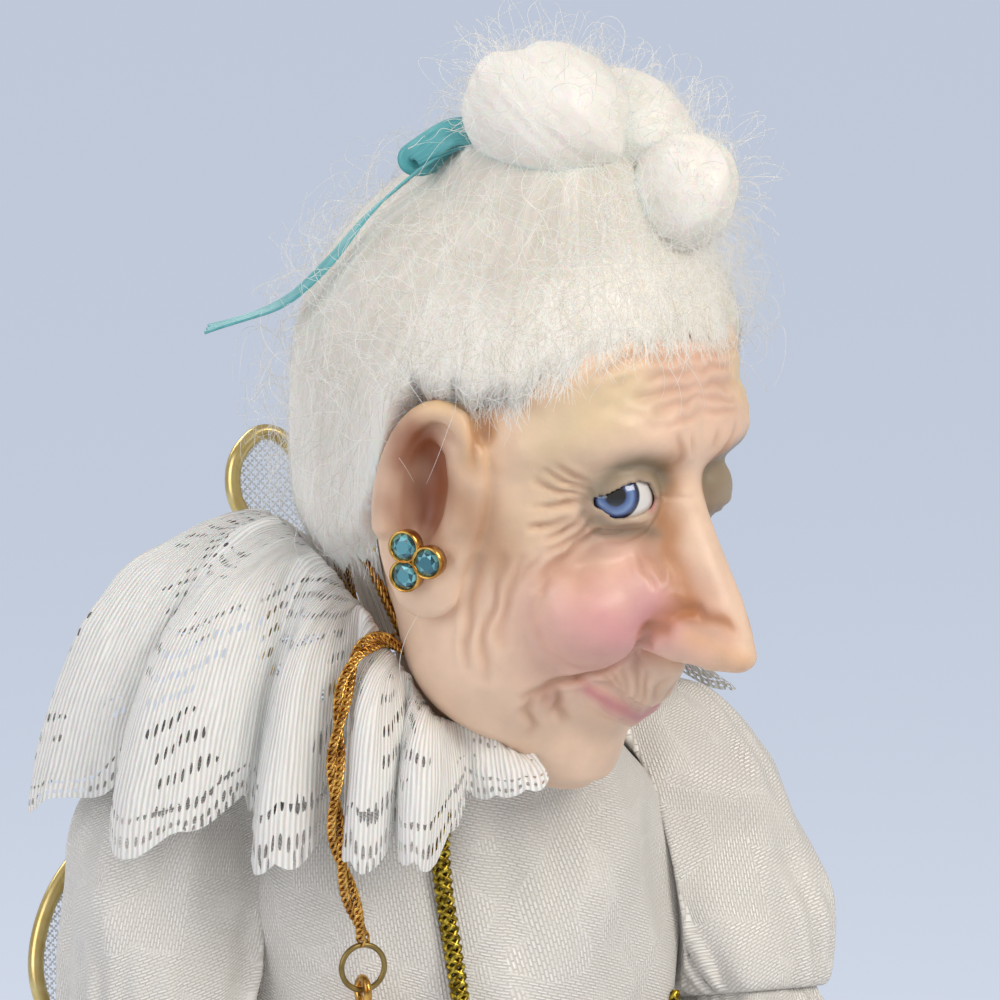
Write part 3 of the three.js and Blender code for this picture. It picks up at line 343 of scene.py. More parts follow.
def rumple(points, wavelength, seed, waves=16):
    """Smooth unevenness between about -1 and 1 over points, for cloth and hair."""
    rng = np.random.default_rng(seed)
    ways = rng.normal(size=(waves, 3))
    ways /= np.linalg.norm(ways, axis=1)[:, None]
    lengths = wavelength * rng.uniform(0.7, 1.5, waves)
    phases = rng.uniform(0, 2 * np.pi, waves)
    total = np.zeros(points.shape[:-1])
    for way, length, phase in zip(ways, lengths, phases):
        total += np.sin(points @ way * (2 * np.pi / length) + phase)
    return total / math.sqrt(waves)


def smoothstep(x, low, high):
    """Rises evenly from 0 at low to 1 at high."""
    t = np.clip((x - low) / (high - low), 0, 1)
    return t * t * (3 - 2 * t)


def solid_mesh(name, points, faces, material, smooth=True):
    """One mesh object at the origin from points in millimetres."""
    mesh = bpy.data.meshes.new(name)
    mesh.from_pydata(np.asarray(points, float).reshape(-1, 3) * MM, [], faces)
    mesh.materials.append(material)
    if smooth:
        mesh.shade_smooth()
    mesh.update()
    made = bpy.data.objects.new(name, mesh)
    scene.collection.objects.link(made)
    return made


def cloth(name, grid, lengths, material, thickness, closed=False, keep=None, flip=False, flat=None):
    """A woven piece over a grid of points: its UV map, flat, is in millimetres, and keep drops cells."""
    columns, rows = grid.shape[:2]
    spans = columns if closed else columns - 1
    i, j = np.meshgrid(np.arange(spans), np.arange(rows - 1), indexing="ij")
    n = (i + 1) % columns
    quads = np.stack([i * rows + j, n * rows + j, n * rows + j + 1, i * rows + j + 1], axis=-1)
    if flat is None:
        across, down = np.linspace(0, lengths[0], spans + 1), np.linspace(0, lengths[1], rows)
        flat = np.stack(np.meshgrid(across, down, indexing="ij"), axis=-1)
    flat = np.stack([flat[i, j], flat[i + 1, j], flat[i + 1, j + 1], flat[i, j + 1]], axis=2)
    if keep is None:
        keep = np.ones((spans, rows - 1), bool)
    quads, flat = quads[keep], flat[keep]
    if flip:
        quads, flat = quads[:, ::-1], flat[:, ::-1]
    used, quads = np.unique(quads, return_inverse=True)
    made = solid_mesh(name, grid.reshape(-1, 3)[used], quads.reshape(-1, 4).tolist(), material)
    layer = made.data.uv_layers.new(name="cloth")
    layer.data.foreach_set("uv", flat.ravel())
    if thickness:
        wall = made.modifiers.new("thickness", "SOLIDIFY")
        wall.thickness = thickness * MM
        wall.offset = 0
    return made


bodice_shape = stations([
    # height, middle, half width, depth to the front, depth to the back
    (178.0, 0, 15.5, 12.5, 11.5),
    (189.97, 0, 17.1, 14.1, 12.6),
    (204.79, 0, 20.4, 15.5, 14.6),
    (216.19, 0, 20.8, 14.9, 15.0),
    (225.88, -0.5, 19.4, 12.7, 13.0),
    (231.01, -2.2, 16.0, 11.3, 10.6),
    (235.0, -3.6, 11.6, 10.8, 9.8),
])


def bodice_point(angle, z, out=0.0):
    """A place on the bodice moved out by some distance; angle 0 is the front, turning to the left."""
    middle, half, front, back = np.moveaxis(bodice_shape(z), -1, 0)
    depth = np.where(np.cos(angle) > 0, front, back)
    power = lambda value: np.sign(value) * np.abs(value) ** (2 / bodice_power)
    return xyz(
        (half + out) * power(np.sin(angle)),
        middle - (depth + out) * power(np.cos(angle)),
        z + 0 * angle,
    )


# Jacquard satin: floats about 0.8 mm long over the ground, in figures where the floats turn; a silky shine
# across them. The floats are painted near white and the ground between them greyer: a painted sheen.
satin, tree, shader = finish("ivory jacquard satin", "#ece9e2", 0.36, Sheen_Weight=0.25, Sheen_Roughness=0.35)
thread = add_node(tree, "ShaderNodeUVMap", uv_map="cloth").outputs[0]
figures = add_node(
    tree, "ShaderNodeTexNoise", {"Vector": thread, "Scale": 0.11, "Detail": 0.6, "Distortion": 1.4}
)
figure_edge = add_node(
    tree, "ShaderNodeMapRange", {"Value": figures.outputs["Fac"], "From Min": 0.47, "From Max": 0.53}
)
float_rows = {
    "Color1": (1, 1, 1, 1), "Color2": (0.6, 0.6, 0.6, 1), "Mortar": (0.25, 0.25, 0.25, 1), "Scale": 1.0,
    "Mortar Size": 0.11, "Mortar Smooth": 1.0, "Bias": 0.0, "Brick Width": 0.8, "Row Height": 0.28,
}
floats = []
for angle in (0.35, 1.45):
    lay = add_node(tree, "ShaderNodeMapping", {"Vector": thread, "Rotation": (0, 0, angle)})
    floats.append(add_node(tree, "ShaderNodeTexBrick", {"Vector": lay.outputs[0], **float_rows}))
inputs = {"Factor": figure_edge.outputs[0], 6: floats[0].outputs["Color"], 7: floats[1].outputs["Color"]}
woven = add_node(tree, "ShaderNodeMix", inputs, data_type="RGBA")
# Painted sheen: the floats near white, the ground and the gaps between the floats greyer.
float_sheen_colour = add_node(tree, "ShaderNodeValToRGB", {"Fac": woven.outputs[2]}, to=shader.inputs["Base Color"])
set_stops(float_sheen_colour, [(0.0, "#c4c0b8"), (1.0, "#fffefc")])
add_node(
    tree, "ShaderNodeMapRange", {"Value": woven.outputs[2], "To Min": 0.46, "To Max": 0.13},
    to=shader.inputs["Roughness"]
)
add_node(
    tree, "ShaderNodeBump", {"Height": woven.outputs[2], "Strength": 0.8, "Distance": 0.00015},
    to=shader.inputs["Normal"]
)

columns, rows = 220, 110
u, v = np.meshgrid(full_turn(columns), np.linspace(0, 1, rows), indexing="ij")
z = waist_height + waist_lap + v * (neckline - waist_height - waist_lap)
flat = bodice_point(u, z)
creases = 0.6 * rumple(flat, 15, 11) + 0.26 * rumple(flat * [1, 1, 0.45], 5.5, 12)
# The cloth lies flat on the back where the wing stems move.
wing_room = (flat[..., 1] > 0) * np.exp(-(flat[..., 0] / 9) ** 2 - ((z - 212) / 12) ** 2)
creases = creases * (1 - wing_room) - 0.2 * wing_room
grid = bodice_point(u, z, 0.25 + creases * smoothstep(1 - v, 0, 0.12) * smoothstep(v, 0, 0.1))
centre = (grid + np.roll(grid, -1, axis=0))[:, :-1] / 2
reach = np.hypot(centre[..., 1] - arm_pin_place[1], centre[..., 2] - arm_pin_place[2])
keep = ~((reach < armhole_radius) & (np.abs(centre[..., 0]) > 14))
bodice = cloth("satin_bodice", grid, (112, 60), satin, 0.5, closed=True, keep=keep)
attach(bodice, "figure")
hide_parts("bodice")

# Skirt
# The same satin, gathered into the waist seam in thirteen deep folds and hanging free to a turned hem.

fold_count = 13
skirt_top, skirt_hem = 178.5, 15.5
waist_half, waist_depth = 15.5, 12.5
flare_aside, flare_ahead = 33.5, 32.5
columns, rows = 330, 100
u, v = np.meshgrid(full_turn(columns), np.linspace(0, 1, rows), indexing="ij")
spread = np.sin(v * np.pi / 2) ** 0.8 * 0.55 + 0.45 * v
fold = 3.2 * v ** 0.6 * np.cos(fold_count * u + 1.1 * v)
fold += 0.7 * v ** 0.5 * np.cos(2 * fold_count * u + 0.6 + 2 * v)
hang = xyz(
    (waist_half + flare_aside * spread + fold) * np.sin(u),
    -(waist_depth + flare_ahead * spread + fold) * np.cos(u),
    0 * u,
)
gather = smoothstep(v, 0, 0.25)[..., None]
pleats = 0.5 * np.cos(4 * fold_count * u) * smoothstep(v, 0, 0.02) * smoothstep(0.3 - v, 0, 0.25)
grid = bodice_point(u, np.full_like(u, waist_height), 0.6 + pleats) * (1 - gather) + hang * gather
grid[..., 2] = skirt_top + v * (skirt_hem - skirt_top)
out = xyz(np.sin(u), -np.cos(u), 0 * u)
grid = grid + out * (0.5 * rumple(grid * [1, 1, 0.4], 14, 21) * smoothstep(v, 0.02, 0.3))[..., None]
skirt = cloth("satin_skirt", grid, (330, 168), satin, 0.5, closed=True, flip=True)
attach(skirt, "figure")
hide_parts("skirt")

# Shoulder plate and neck
# Polymer clay, modelled and baked in one piece with the peg that the head turns on, then painted.

# Painted clay: a warm peach with a satin coat, a little light under the skin, and the tool's fine marks.
clay, tree, shader = finish(
    "painted polymer clay", "#ecc9ae", 0.42, Subsurface_Weight=0.14, Subsurface_Scale=0.0014
)
shader.inputs["Subsurface Radius"].default_value = (1.0, 0.42, 0.2)
place = add_node(tree, "ShaderNodeTexCoord").outputs["Object"]
paint = add_node(tree, "ShaderNodeAttribute", attribute_name="paint")
mottle = add_node(tree, "ShaderNodeTexNoise", {"Vector": place, "Scale": 420.0, "Detail": 3.0})
mottled = add_node(
    tree, "ShaderNodeMapRange",
    {"Value": mottle.outputs["Fac"], "From Min": 0.3, "From Max": 0.7, "To Min": 0.94, "To Max": 1.03}
)
add_node(
    tree, "ShaderNodeVectorMath", {0: paint.outputs["Color"], "Scale": mottled.outputs[0]},
    to=shader.inputs["Base Color"], operation="SCALE"
)
add_node(
    tree, "ShaderNodeMapRange", {"Value": paint.outputs["Alpha"], "To Min": 0.42, "To Max": 0.14},
    to=shader.inputs["Roughness"]
)
tool_marks = add_node(tree, "ShaderNodeTexNoise", {"Vector": place, "Scale": 2600.0, "Detail": 2.0})
add_node(
    tree, "ShaderNodeBump", {"Height": tool_marks.outputs["Fac"], "Strength": 0.1, "Distance": 0.0002},
    to=shader.inputs["Normal"]
)


def store(mesh, name, kind, values, domain="POINT"):
    """Stores a named value for each point, or each face, of a mesh."""
    field = {"FLOAT": "value", "FLOAT_VECTOR": "vector", "FLOAT_COLOR": "color"}[kind]
    layer = mesh.attributes.new(name, kind, domain)
    layer.data.foreach_set(field, np.asarray(values).ravel().astype(np.float32))


def painted(made, colours, gloss=0.0):
    """Stores a colour for each point of a clay piece, and how glossy it is there."""
    shine = np.broadcast_to(gloss, len(colours))[:, None]
    store(made.data, "paint", "FLOAT_COLOR", np.concatenate([colours, shine], axis=1))


def lathe_like(rings):
    """Points and faces of a solid skinned over rings and closed at both ends."""
    count, sides = rings.shape[:2]
    points = np.concatenate([rings.reshape(-1, 3), rings[0].mean(axis=0)[None], rings[-1].mean(axis=0)[None]])
    faces = []
    for i in range(count - 1):
        for j in range(sides):
            k = (j + 1) % sides
            faces.append((i * sides + j, i * sides + k, (i + 1) * sides + k, (i + 1) * sides + j))
    for j in range(sides):
        k = (j + 1) % sides
        faces.append((count * sides, k, j))
        faces.append((count * sides + 1, (count - 1) * sides + j, (count - 1) * sides + k))
    return points, faces


plate_shape = stations([
    # height, middle, half width, half depth
    (228.3, -0.72, 15.8, 9.5),
    (230.5, -1.56, 13.4, 8.8),
    (234.0, -3.0, 8.1, 7.7),
    (237.0, -5.1, 7.1, 7.1),
    (239.0, -6.0, 6.6, 6.6),
    (249.0, -6.0, 6.6, 6.6),
])
plate_foot, plate_top, peg_top, peg_radius, plate_levels = 228.3, 249.0, 256.5, 5.0, 60
neck_axis_y = -6
levels = np.concatenate([np.linspace(plate_foot, plate_top, plate_levels), [plate_top, peg_top]])
turn = full_turn(72)
rings = []
for k, level in enumerate(levels):
    middle, half_x, half_y = plate_shape(level)
    if k >= plate_levels:
        half_x = half_y = peg_radius
    rings.append(xyz(half_x * np.sin(turn), middle - half_y * np.cos(turn), np.full_like(turn, level)))
points, faces = lathe_like(np.array(rings))
neck = solid_mesh("clay_neck", points, faces, clay)
painted(neck, np.tile(linear("#e6c3a6"), (len(points), 1)))
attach(neck, "figure")
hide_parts("shoulder_plate")

# Forearms and hands
# Clay forearms bent at the elbow, with relaxed old hands, painted like the face; each is wired into
# its cloth upper arm inside the sleeve.

gather_z = 208.0


def rope(space, points, radii):
    """Distance from a round cord of changing radius through points."""
    x, y, z = space
    nearest = None
    for a, b, ra, rb in zip(points[:-1], points[1:], radii[:-1], radii[1:]):
        a, b = np.array(a, np.float32), np.array(b, np.float32)
        way = b - a
        t = ((x - a[0]) * way[0] + (y - a[1]) * way[1] + (z - a[2]) * way[2]) / float(way @ way)
        t = np.clip(t, 0, 1)
        off_x, off_y, off_z = (one - a[k] - t * way[k] for k, one in enumerate(space))
        gap = np.sqrt(off_x ** 2 + off_y ** 2 + off_z ** 2) - (ra + (rb - ra) * t)
        nearest = gap if nearest is None else np.minimum(nearest, gap)
    return nearest


def join(a, b, soft):
    """Two bodies of clay pressed together, with a fillet of about that size."""
    h = np.clip(0.5 + 0.5 * (b - a) / soft, 0, 1)
    return b * (1 - h) + a * h - soft * h * (1 - h)


def carve(a, b, soft):
    """Body a with b taken out of it, the edge eased by about that size."""
    return -join(-a, b, soft)


def clay_grid(low, high, step):
    """The coordinates of a block of clay, cell by cell."""
    axes = [np.arange(a, b + step, step, dtype=np.float32) for a, b in zip(low, high)]
    return np.meshgrid(*axes, indexing="ij")


def clay_skin(field, low, step):
    """Points and faces of the surface of a modelled block."""
    block = openvdb.FloatGrid(10.0)
    block.copyFromArray(np.ascontiguousarray(field, np.float32))
    points, quads = block.convertToQuads(0.0)
    points = np.asarray(points, float) * step + np.array(low)
    quads = np.asarray(quads)
    a, b, c, d = (points[quads[:, k]] for k in range(4))
    volume = np.einsum("ij,ij->", a, np.cross(b, c)) + np.einsum("ij,ij->", a, np.cross(c, d))
    return points, quads if volume > 0 else quads[:, ::-1]


def raise_arm(points, degrees):
    """Points of an arm swung forwards on its pin."""
    c, s = math.cos(math.radians(degrees)), math.sin(math.radians(degrees))
    y, z = points[..., 1] - arm_pin_place[1], points[..., 2] - arm_pin_place[2]
    return xyz(points[..., 0], y * c + z * s + arm_pin_place[1], z * c - y * s + arm_pin_place[2])


arms = [("left", 1, 12.0), ("right", -1, 0.0)]
sleeve_radius = 7.6
pivot_reach = armhole_plane + sleeve_radius * 0.62
gather_reach = pivot_reach + 2.6
arm_step = 0.4
for name, side, lifted in arms:
    top = np.array([side * gather_reach, 0, gather_z + 2.5])
    elbow = np.array([side * (gather_reach + 1.5), -1, gather_z - 17])
    wrist = np.array([side * (gather_reach - 3), -25, gather_z - 36])
    reach = (wrist - elbow) / np.linalg.norm(wrist - elbow)
    across = np.array([side, 0, 0]) - reach * reach[0] * side
    across /= np.linalg.norm(across)
    hand = lambda forward, aside, drop: wrist + reach * forward + across * aside - np.array([0, 0, drop])
    low = np.array([min(side * 20.0, side * 36.0), -46.0, 158.0])
    space = clay_grid(low, (max(side * 20.0, side * 36.0), 6.0, 213.0), arm_step)
    course = [top, top - [0, 0, 5], elbow + [-side * 0.3, 0.4, 2.5], elbow + [-side, -3.6, -3.4]]
    field = rope(space, course + [(elbow + wrist) / 2, wrist], [3.5, 3.4, 3.5, 3.5, 3.15, 2.2])
    field = np.maximum(field, space[2] - top[2])
    palm_radii = [1.6, 1.9, 1.5]
    inner_palm = rope(space, [hand(0, -1.2, 0), hand(6, -1.7, 0.3), hand(8.6, -1.7, 0.8)], palm_radii)
    outer_palm = rope(space, [hand(0, 1.2, 0), hand(6, 1.5, 0.3), hand(8.4, 1.5, 0.8)], palm_radii)
    palm = np.minimum(inner_palm, outer_palm)
    field = join(field, palm, 1.6)
    for aside, length in [(-2.5, 7.0), (-0.9, 8.6), (0.8, 8.2), (2.3, 6.2)]:
        bends = [(0, 1, 0.5), (0.45, 1.12, 1.3), (0.75, 1.15, 2.6), (0.96, 1.15, 3.9)]
        knuckles = [hand(7.6 + length * far, aside * apart, drop) for far, apart, drop in bends]
        field = join(field, rope(space, knuckles, [1.15, 1.0, 0.92, 0.6]), 0.5)
        for bend in knuckles[1:3]:
            field = join(field, rope(space, [bend + [0, 0, 0.15], bend + [0, 0, 0.35]], [0.95, 0.95]), 0.4)
    thumb = [hand(2.6, -1.8, 0.2), hand(6.0, -4.4, 0.8), hand(9.0, -5.4, 2.0)]
    field = join(field, rope(space, thumb, [1.5, 1.15, 0.7]), 0.7)
    points, quads = clay_skin(field, low, arm_step)
    forearm = solid_mesh(f"clay_forearm_{name}", raise_arm(points, lifted), quads.tolist(), clay)
    warm = smoothstep((points - wrist) @ reach, 4, 14)[:, None]
    painted(forearm, (1 - warm) * np.array(linear("#e8c4a8")) + warm * np.array(linear("#e0a98c")))
    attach(forearm, f"arm_{name}")
    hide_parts(f"forearm_{name}")

# Sleeves
# Short puffed sleeves of the gown's satin, gathered at the armhole and again above a frill.

sleeve_outline = stations([
    # share of the way down, radius, slant towards the gathered end, sag of the puff
    (0, 0.012 * sleeve_radius, 0, 0),
    (0.06, 0.55 * sleeve_radius, 0.02, 0),
    (0.22, 0.88 * sleeve_radius, 0.12, 0),
    (0.5, sleeve_radius, 0.45, 0.3),
    (0.74, 1.03 * sleeve_radius, 0.8, 1.6),
    (0.86, 0.98 * sleeve_radius, 0.95, 3.9),
    (0.93, 0.86 * sleeve_radius, 1, 3.4),
    (0.97, 0.72 * sleeve_radius, 1, 1.2),
    (1, 0.66 * sleeve_radius, 1, 0),
    (1.06, 0.74 * sleeve_radius, 1, 0),
    (1.2, 0.98 * sleeve_radius, 1, 0),
])
sleeve_top = arm_pin_place[2] + sleeve_radius * 1.16
columns, rows = 180, 110
u, v = np.meshgrid(full_turn(columns), np.linspace(0, 1.2, rows), indexing="ij")
cap_lean, cap_rise, seam_gap = 3.2, 3.4, 0.3
for name, side, lifted in arms:
    radius, slant, sag = np.moveaxis(sleeve_outline(v), -1, 0)
    gathers = 0.05 * v * np.cos(6 * u) + 0.05 * smoothstep(v, 0.5, 0.95) * np.cos(17 * u + 0.8)
    frill = 0.05 * smoothstep(v, 0.98, 1.2) * np.cos(11 * u)
    gathers += frill + 0.03 * smoothstep(0.5 - v, 0, 0.4) * np.cos(15 * u)
    radius = radius * (1 + gathers)
    cap = smoothstep(0.4 - v, 0, 0.4)
    outer = side * np.sin(u)
    tuck = 5.0 * smoothstep(v, 0.0, 0.15) * smoothstep(0.95 - v, 0, 0.3)
    aside = np.where(outer > 0, radius * np.abs(outer) ** 0.78, -(radius + tuck) * np.abs(outer) ** 0.35)
    y = arm_pin_place[1] * (1 - slant) - radius * np.sign(np.cos(u)) * np.abs(np.cos(u)) ** 0.75
    z = sleeve_top + v * (gather_z - sleeve_top) + cap_rise * cap - sag
    grid = xyz(side * (pivot_reach + (gather_reach - pivot_reach) * slant - cap_lean * cap + aside), y, z)
    outward = xyz(np.sin(u), -np.cos(u), 0 * u)
    puffs = 0.6 * rumple(grid * [1, 1, 0.5], 8, 31 + side) + 0.2 * rumple(grid * [1, 1, 0.4], 3.4, 33 + side)
    grid = grid + outward * (puffs * smoothstep(v, 0.05, 0.3))[..., None]
    seam = np.zeros_like(v)
    for swung in (-8, -4, 0):
        turned = raise_arm(grid, swung)
        middle, half, front, back = np.moveaxis(bodice_shape(turned[..., 2]), -1, 0)
        offset = np.abs(turned[..., 1] - middle) / np.where(turned[..., 1] < middle, front, back)
        wall = half * np.clip(1 - offset ** bodice_power, 0, 1) ** (1 / bodice_power)
        seam = np.maximum(seam, wall + seam_gap)
    inner = side * grid[..., 0] < seam
    grid[..., 0] = np.where(inner, side * seam, grid[..., 0])
    lost = inner & np.roll(inner, -1, axis=0)
    at_pin = np.hypot(grid[:, :-1, 1] - arm_pin_place[1], grid[:, :-1, 2] - arm_pin_place[2]) < armhole_radius
    keep = ~(lost[:, :-1] & lost[:, 1:] & at_pin)
    girth = np.linalg.norm(np.roll(grid, -1, axis=0) - grid, axis=-1)[:, rows // 2]
    drop = np.linalg.norm(np.diff(grid, axis=1), axis=-1)[columns // 4]
    flat = np.meshgrid(np.append(0, np.cumsum(girth)), np.append(0, np.cumsum(drop)), indexing="ij")
    sleeve = cloth(
        f"satin_sleeve_{name}", raise_arm(grid, lifted), None, satin, 0.4, closed=True, keep=keep, flip=True,
        flat=np.stack(flat, axis=-1)
    )
    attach(sleeve, f"arm_{name}")
    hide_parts(f"sleeve_{name}")

# Gold braid round the cuffs and down the bodice
# Metallic yarn plaited into a round cord, sewn over the sleeve's gathers and along the bodice's front
# and side.


def node_group(title, inputs):
    """A geometry node tree with named inputs, its inputs' sockets and its group input node."""
    tree = bpy.data.node_groups.new(title, "GeometryNodeTree")
    sockets = {}
    for name, kind in inputs:
        made = tree.interface.new_socket(name, in_out="INPUT", socket_type=f"NodeSocket{kind}")
        sockets[name] = made.identifier
    tree.interface.new_socket("Geometry", in_out="OUTPUT", socket_type="NodeSocketGeometry")
    return tree, sockets, add_node(tree, "NodeGroupInput")


def end_group(tree, shape, given):
    """Makes a tree's shape real, gives it its material and hands it out."""
    real = add_node(tree, "GeometryNodeRealizeInstances", {"Geometry": shape.outputs[0]})
    inputs = {"Geometry": real.outputs[0], "Material": given.outputs["Material"]}
    coloured = add_node(tree, "GeometryNodeSetMaterial", inputs)
    add_node(tree, "NodeGroupOutput", {"Geometry": coloured.outputs[0]})


def line_tree(title, flat):
    """A node tree that sweeps round strands, or flat ones that face outward, along lines; and its sockets."""
    inputs = [("Geometry", "Geometry"), ("Radius", "Float"), ("Material", "Material")]
    tree, sockets, given = node_group(title, inputs if flat else inputs + [("Sides", "Int")])
    course = add_node(tree, "GeometryNodeMeshToCurve", {"Mesh": given.outputs["Geometry"]})
    if flat:
        outward = add_node(
            tree, "GeometryNodeInputNamedAttribute", {"Name": "outward"}, data_type="FLOAT_VECTOR"
        )
        inputs = {"Curve": course.outputs[0], "Normal": outward.outputs["Attribute"]}
        course = add_node(tree, "GeometryNodeSetCurveNormal", inputs, mode="FREE")
        section = add_node(tree, "GeometryNodeCurvePrimitiveLine", {"Start": (0, -1, 0), "End": (0, 1, 0)})
    else:
        inputs = {"Resolution": given.outputs["Sides"], "Radius": 1.0}
        section = add_node(tree, "GeometryNodeCurvePrimitiveCircle", inputs)
    named = add_node(tree, "GeometryNodeInputNamedAttribute", {"Name": "thickness"}, data_type="FLOAT")
    inputs = {0: named.outputs["Attribute"], 1: given.outputs["Radius"]}
    thick = add_node(tree, "ShaderNodeMath", inputs, operation="MULTIPLY")
    inputs = {"Curve": course.outputs[0], "Profile Curve": section.outputs[0], "Scale": thick.outputs[0]}
    tube = add_node(tree, "GeometryNodeCurveToMesh", {**inputs, "Fill Caps": not flat})
    end_group(tree, tube, given)
    return tree, sockets


round_tree = line_tree("round strands along lines", False)
flat_tree = line_tree("flat strands along lines", True)


def along_lines(name, lines, layers, group, values):
    """One mesh that a node tree makes along lines of points, with the layers that it reads there."""
    points = np.concatenate(lines)
    ends = np.cumsum([len(line) for line in lines])
    edges = np.stack([np.arange(len(points) - 1), np.arange(1, len(points))], axis=1)
    edges = np.delete(edges, ends[:-1] - 1, axis=0)
    mesh = bpy.data.meshes.new(name)
    mesh.from_pydata(points * MM, edges.tolist(), [])
    for title, (kind, data) in layers.items():
        store(mesh, title, kind, data)
    made = bpy.data.objects.new(name, mesh)
    scene.collection.objects.link(made)
    modifier = made.modifiers.new("along lines", "NODES")
    modifier.node_group, sockets = group
    for title, value in values.items():
        modifier[sockets[title]] = value
    settle(made)
    return made


def strands(name, lines, radius, material, sides=5, taper=None, outward=None):
    """Strands along lines of points: round, or flat and facing outward."""
    taper = taper or np.ones_like
    thickness = [taper(np.linspace(0, 1, len(line))) for line in lines]
    layers = {"thickness": ("FLOAT", np.concatenate(thickness))}
    values = {"Radius": radius * MM, "Material": material}
    if outward is None:
        made = along_lines(name, lines, layers, round_tree, {**values, "Sides": sides})
    else:
        made = along_lines(name, lines, {**layers, "outward": ("FLOAT_VECTOR", outward)}, flat_tree, values)
    if sides > 3:
        made.data.shade_smooth()
    return made


def smooth_line(points, count, closed=False):
    """Evenly spaced points on a smooth curve through points, and its length."""
    points = np.array(points, float)
    if closed:
        points = np.concatenate([points[-1:], points, points[:2]])
    else:
        points = np.concatenate([2 * points[:1] - points[1:2], points, 2 * points[-1:] - points[-2:-1]])
    fine = []
    for p0, p1, p2, p3 in zip(points[:-3], points[1:-2], points[2:-1], points[3:]):
        t = np.linspace(0, 1, 24, endpoint=False)[:, None]
        square, cube = 2 * p0 - 5 * p1 + 4 * p2 - p3, 3 * p1 - p0 - 3 * p2 + p3
        fine.append(0.5 * (2 * p1 + (p2 - p0) * t + square * t ** 2 + cube * t ** 3))
    fine = np.concatenate(fine + [points[-2:-1]])
    run = np.concatenate([[0], np.cumsum(np.linalg.norm(np.diff(fine, axis=0), axis=1))])
    even = np.linspace(0, run[-1], count)
    return np.stack([np.interp(even, run, fine[:, k]) for k in range(3)], axis=1), run[-1]


def line_axes(line, outward):
    """Two directions across a line at each point, the first as near to outward as it can be."""
    way = np.gradient(line, axis=0)
    way /= np.linalg.norm(way, axis=1)[:, None]
    first = outward - way * np.einsum("ij,ij->i", outward, way)[:, None]
    first /= np.linalg.norm(first, axis=1)[:, None]
    return first, np.cross(way, first)


def plait(line, outward, radius, pitch, length, flat=1.0):
    """Six strands plaited round a line: three turn one way, three the other, over and under."""
    first, second = line_axes(line, outward)
    run = np.linspace(0, length, len(line))
    lines = []
    for k in range(6):
        way = 1 if k % 2 else -1
        angle = way * 2 * np.pi * run / pitch + k * np.pi / 3
        over = radius * (0.72 + 0.16 * np.cos(3 * angle + (0 if way > 0 else np.pi)))[:, None]
        lines.append(line + over * (flat * first * np.cos(angle)[:, None] + second * np.sin(angle)[:, None]))
    return lines


# Metallic yarn: gilt film wound on thread, bright along each turn and dark brown between.
gold_yarn, tree, shader = finish("gilt metallic yarn", "#c2a02a", 0.28, Metallic=0.9)
place = add_node(tree, "ShaderNodeTexCoord").outputs["Object"]
film = add_node(tree, "ShaderNodeTexNoise", {"Vector": place, "Scale": 2200.0, "Detail": 2.0})
film_colour = add_node(
    tree, "ShaderNodeValToRGB", {"Fac": film.outputs["Fac"]}, to=shader.inputs["Base Color"]
)
set_stops(film_colour, [(0.42, "#5f4a0c"), (0.68, "#d2b944")])

braid_pitch = 2.6
for name, low, high, end in [("left", 0.9, 1.02, 0.54), ("right", -0.02, -0.27, 0.9)]:
    shares = np.array([0.03, 0.22, 0.44, 0.66, 0.86, 1])
    angles = low + (high - low) * shares
    heights = waist_height + shares * end * (neckline - waist_height)
    line, length = smooth_line(bodice_point(angles, heights, 1.3), 260)
    outward = line * [1, 1, 0]
    lines = plait(line, outward, 0.85, braid_pitch, length, flat=0.5) + [line]
    braid = strands(f"gold_braid_{name}", lines, 0.26, gold_yarn)
    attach(braid, "figure")
    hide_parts(f"braid_trim_{name}")
for name, side, lifted in arms:
    turn = np.linspace(0, 2 * np.pi, 220)
    ring_radius = 5.9
    outward = xyz(np.sin(turn), -np.cos(turn), 0 * turn)
    line = ring_radius * outward + [side * gather_reach, 0, gather_z + 0.6]
    length = 2 * np.pi * ring_radius
    lines = plait(line, outward, 0.85, length / 10, length) + [line]
    cuff = strands(f"gold_cuff_{name}", [raise_arm(one, lifted) for one in lines], 0.4, gold_yarn)
    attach(cuff, f"arm_{name}")
    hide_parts(f"cuff_braid_{name}")

# Lace: the collar and the cuffs
# White cotton lace, machine made: dense upright threads with rows of small oval holes and a scalloped edge;
# gathered on a thread and sewn to the neckline and the sleeves.


def scalloped(s, width):
    """The share of its width that lace reaches, which dips between the scallops along it."""
    return 1 - 0.5 * (1 - np.abs(np.sin(np.pi * s / 2.2)) ** 0.7) / width


# Cotton lace: matt white upright threads that let a little light through, with rows of small oval holes.
cotton, tree, shader = finish(
    "white cotton lace", "#f5f5f3", 0.85, Sheen_Weight=0.2, Subsurface_Weight=0.15, Subsurface_Scale=0.001
)
thread = add_node(tree, "ShaderNodeUVMap", uv_map="cloth").outputs[0]
upright = add_node(tree, "ShaderNodeMapping", {"Vector": thread, "Scale": (1, 0.14, 1)})
fuzz = add_node(tree, "ShaderNodeTexNoise", {"Vector": upright.outputs[0], "Scale": 4.5, "Detail": 3.0})
cords = add_node(
    tree, "ShaderNodeTexWave", {"Vector": thread, "Scale": 0.62, "Distortion": 1.6, "Detail": 2.0}
)
thread_height = add_node(
    tree, "ShaderNodeMath", {0: fuzz.outputs["Fac"], 1: cords.outputs["Fac"]}, operation="ADD"
)
add_node(
    tree, "ShaderNodeBump", {"Height": thread_height.outputs[0], "Strength": 0.6, "Distance": 0.00014},
    to=shader.inputs["Normal"]
)
# Painted shade: the low places between the raised threads are greyer, the tops near white.
thread_shade_mask = add_node(
    tree, "ShaderNodeMapRange", {"Value": thread_height.outputs[0], "From Min": 0.5, "From Max": 1.2}
)
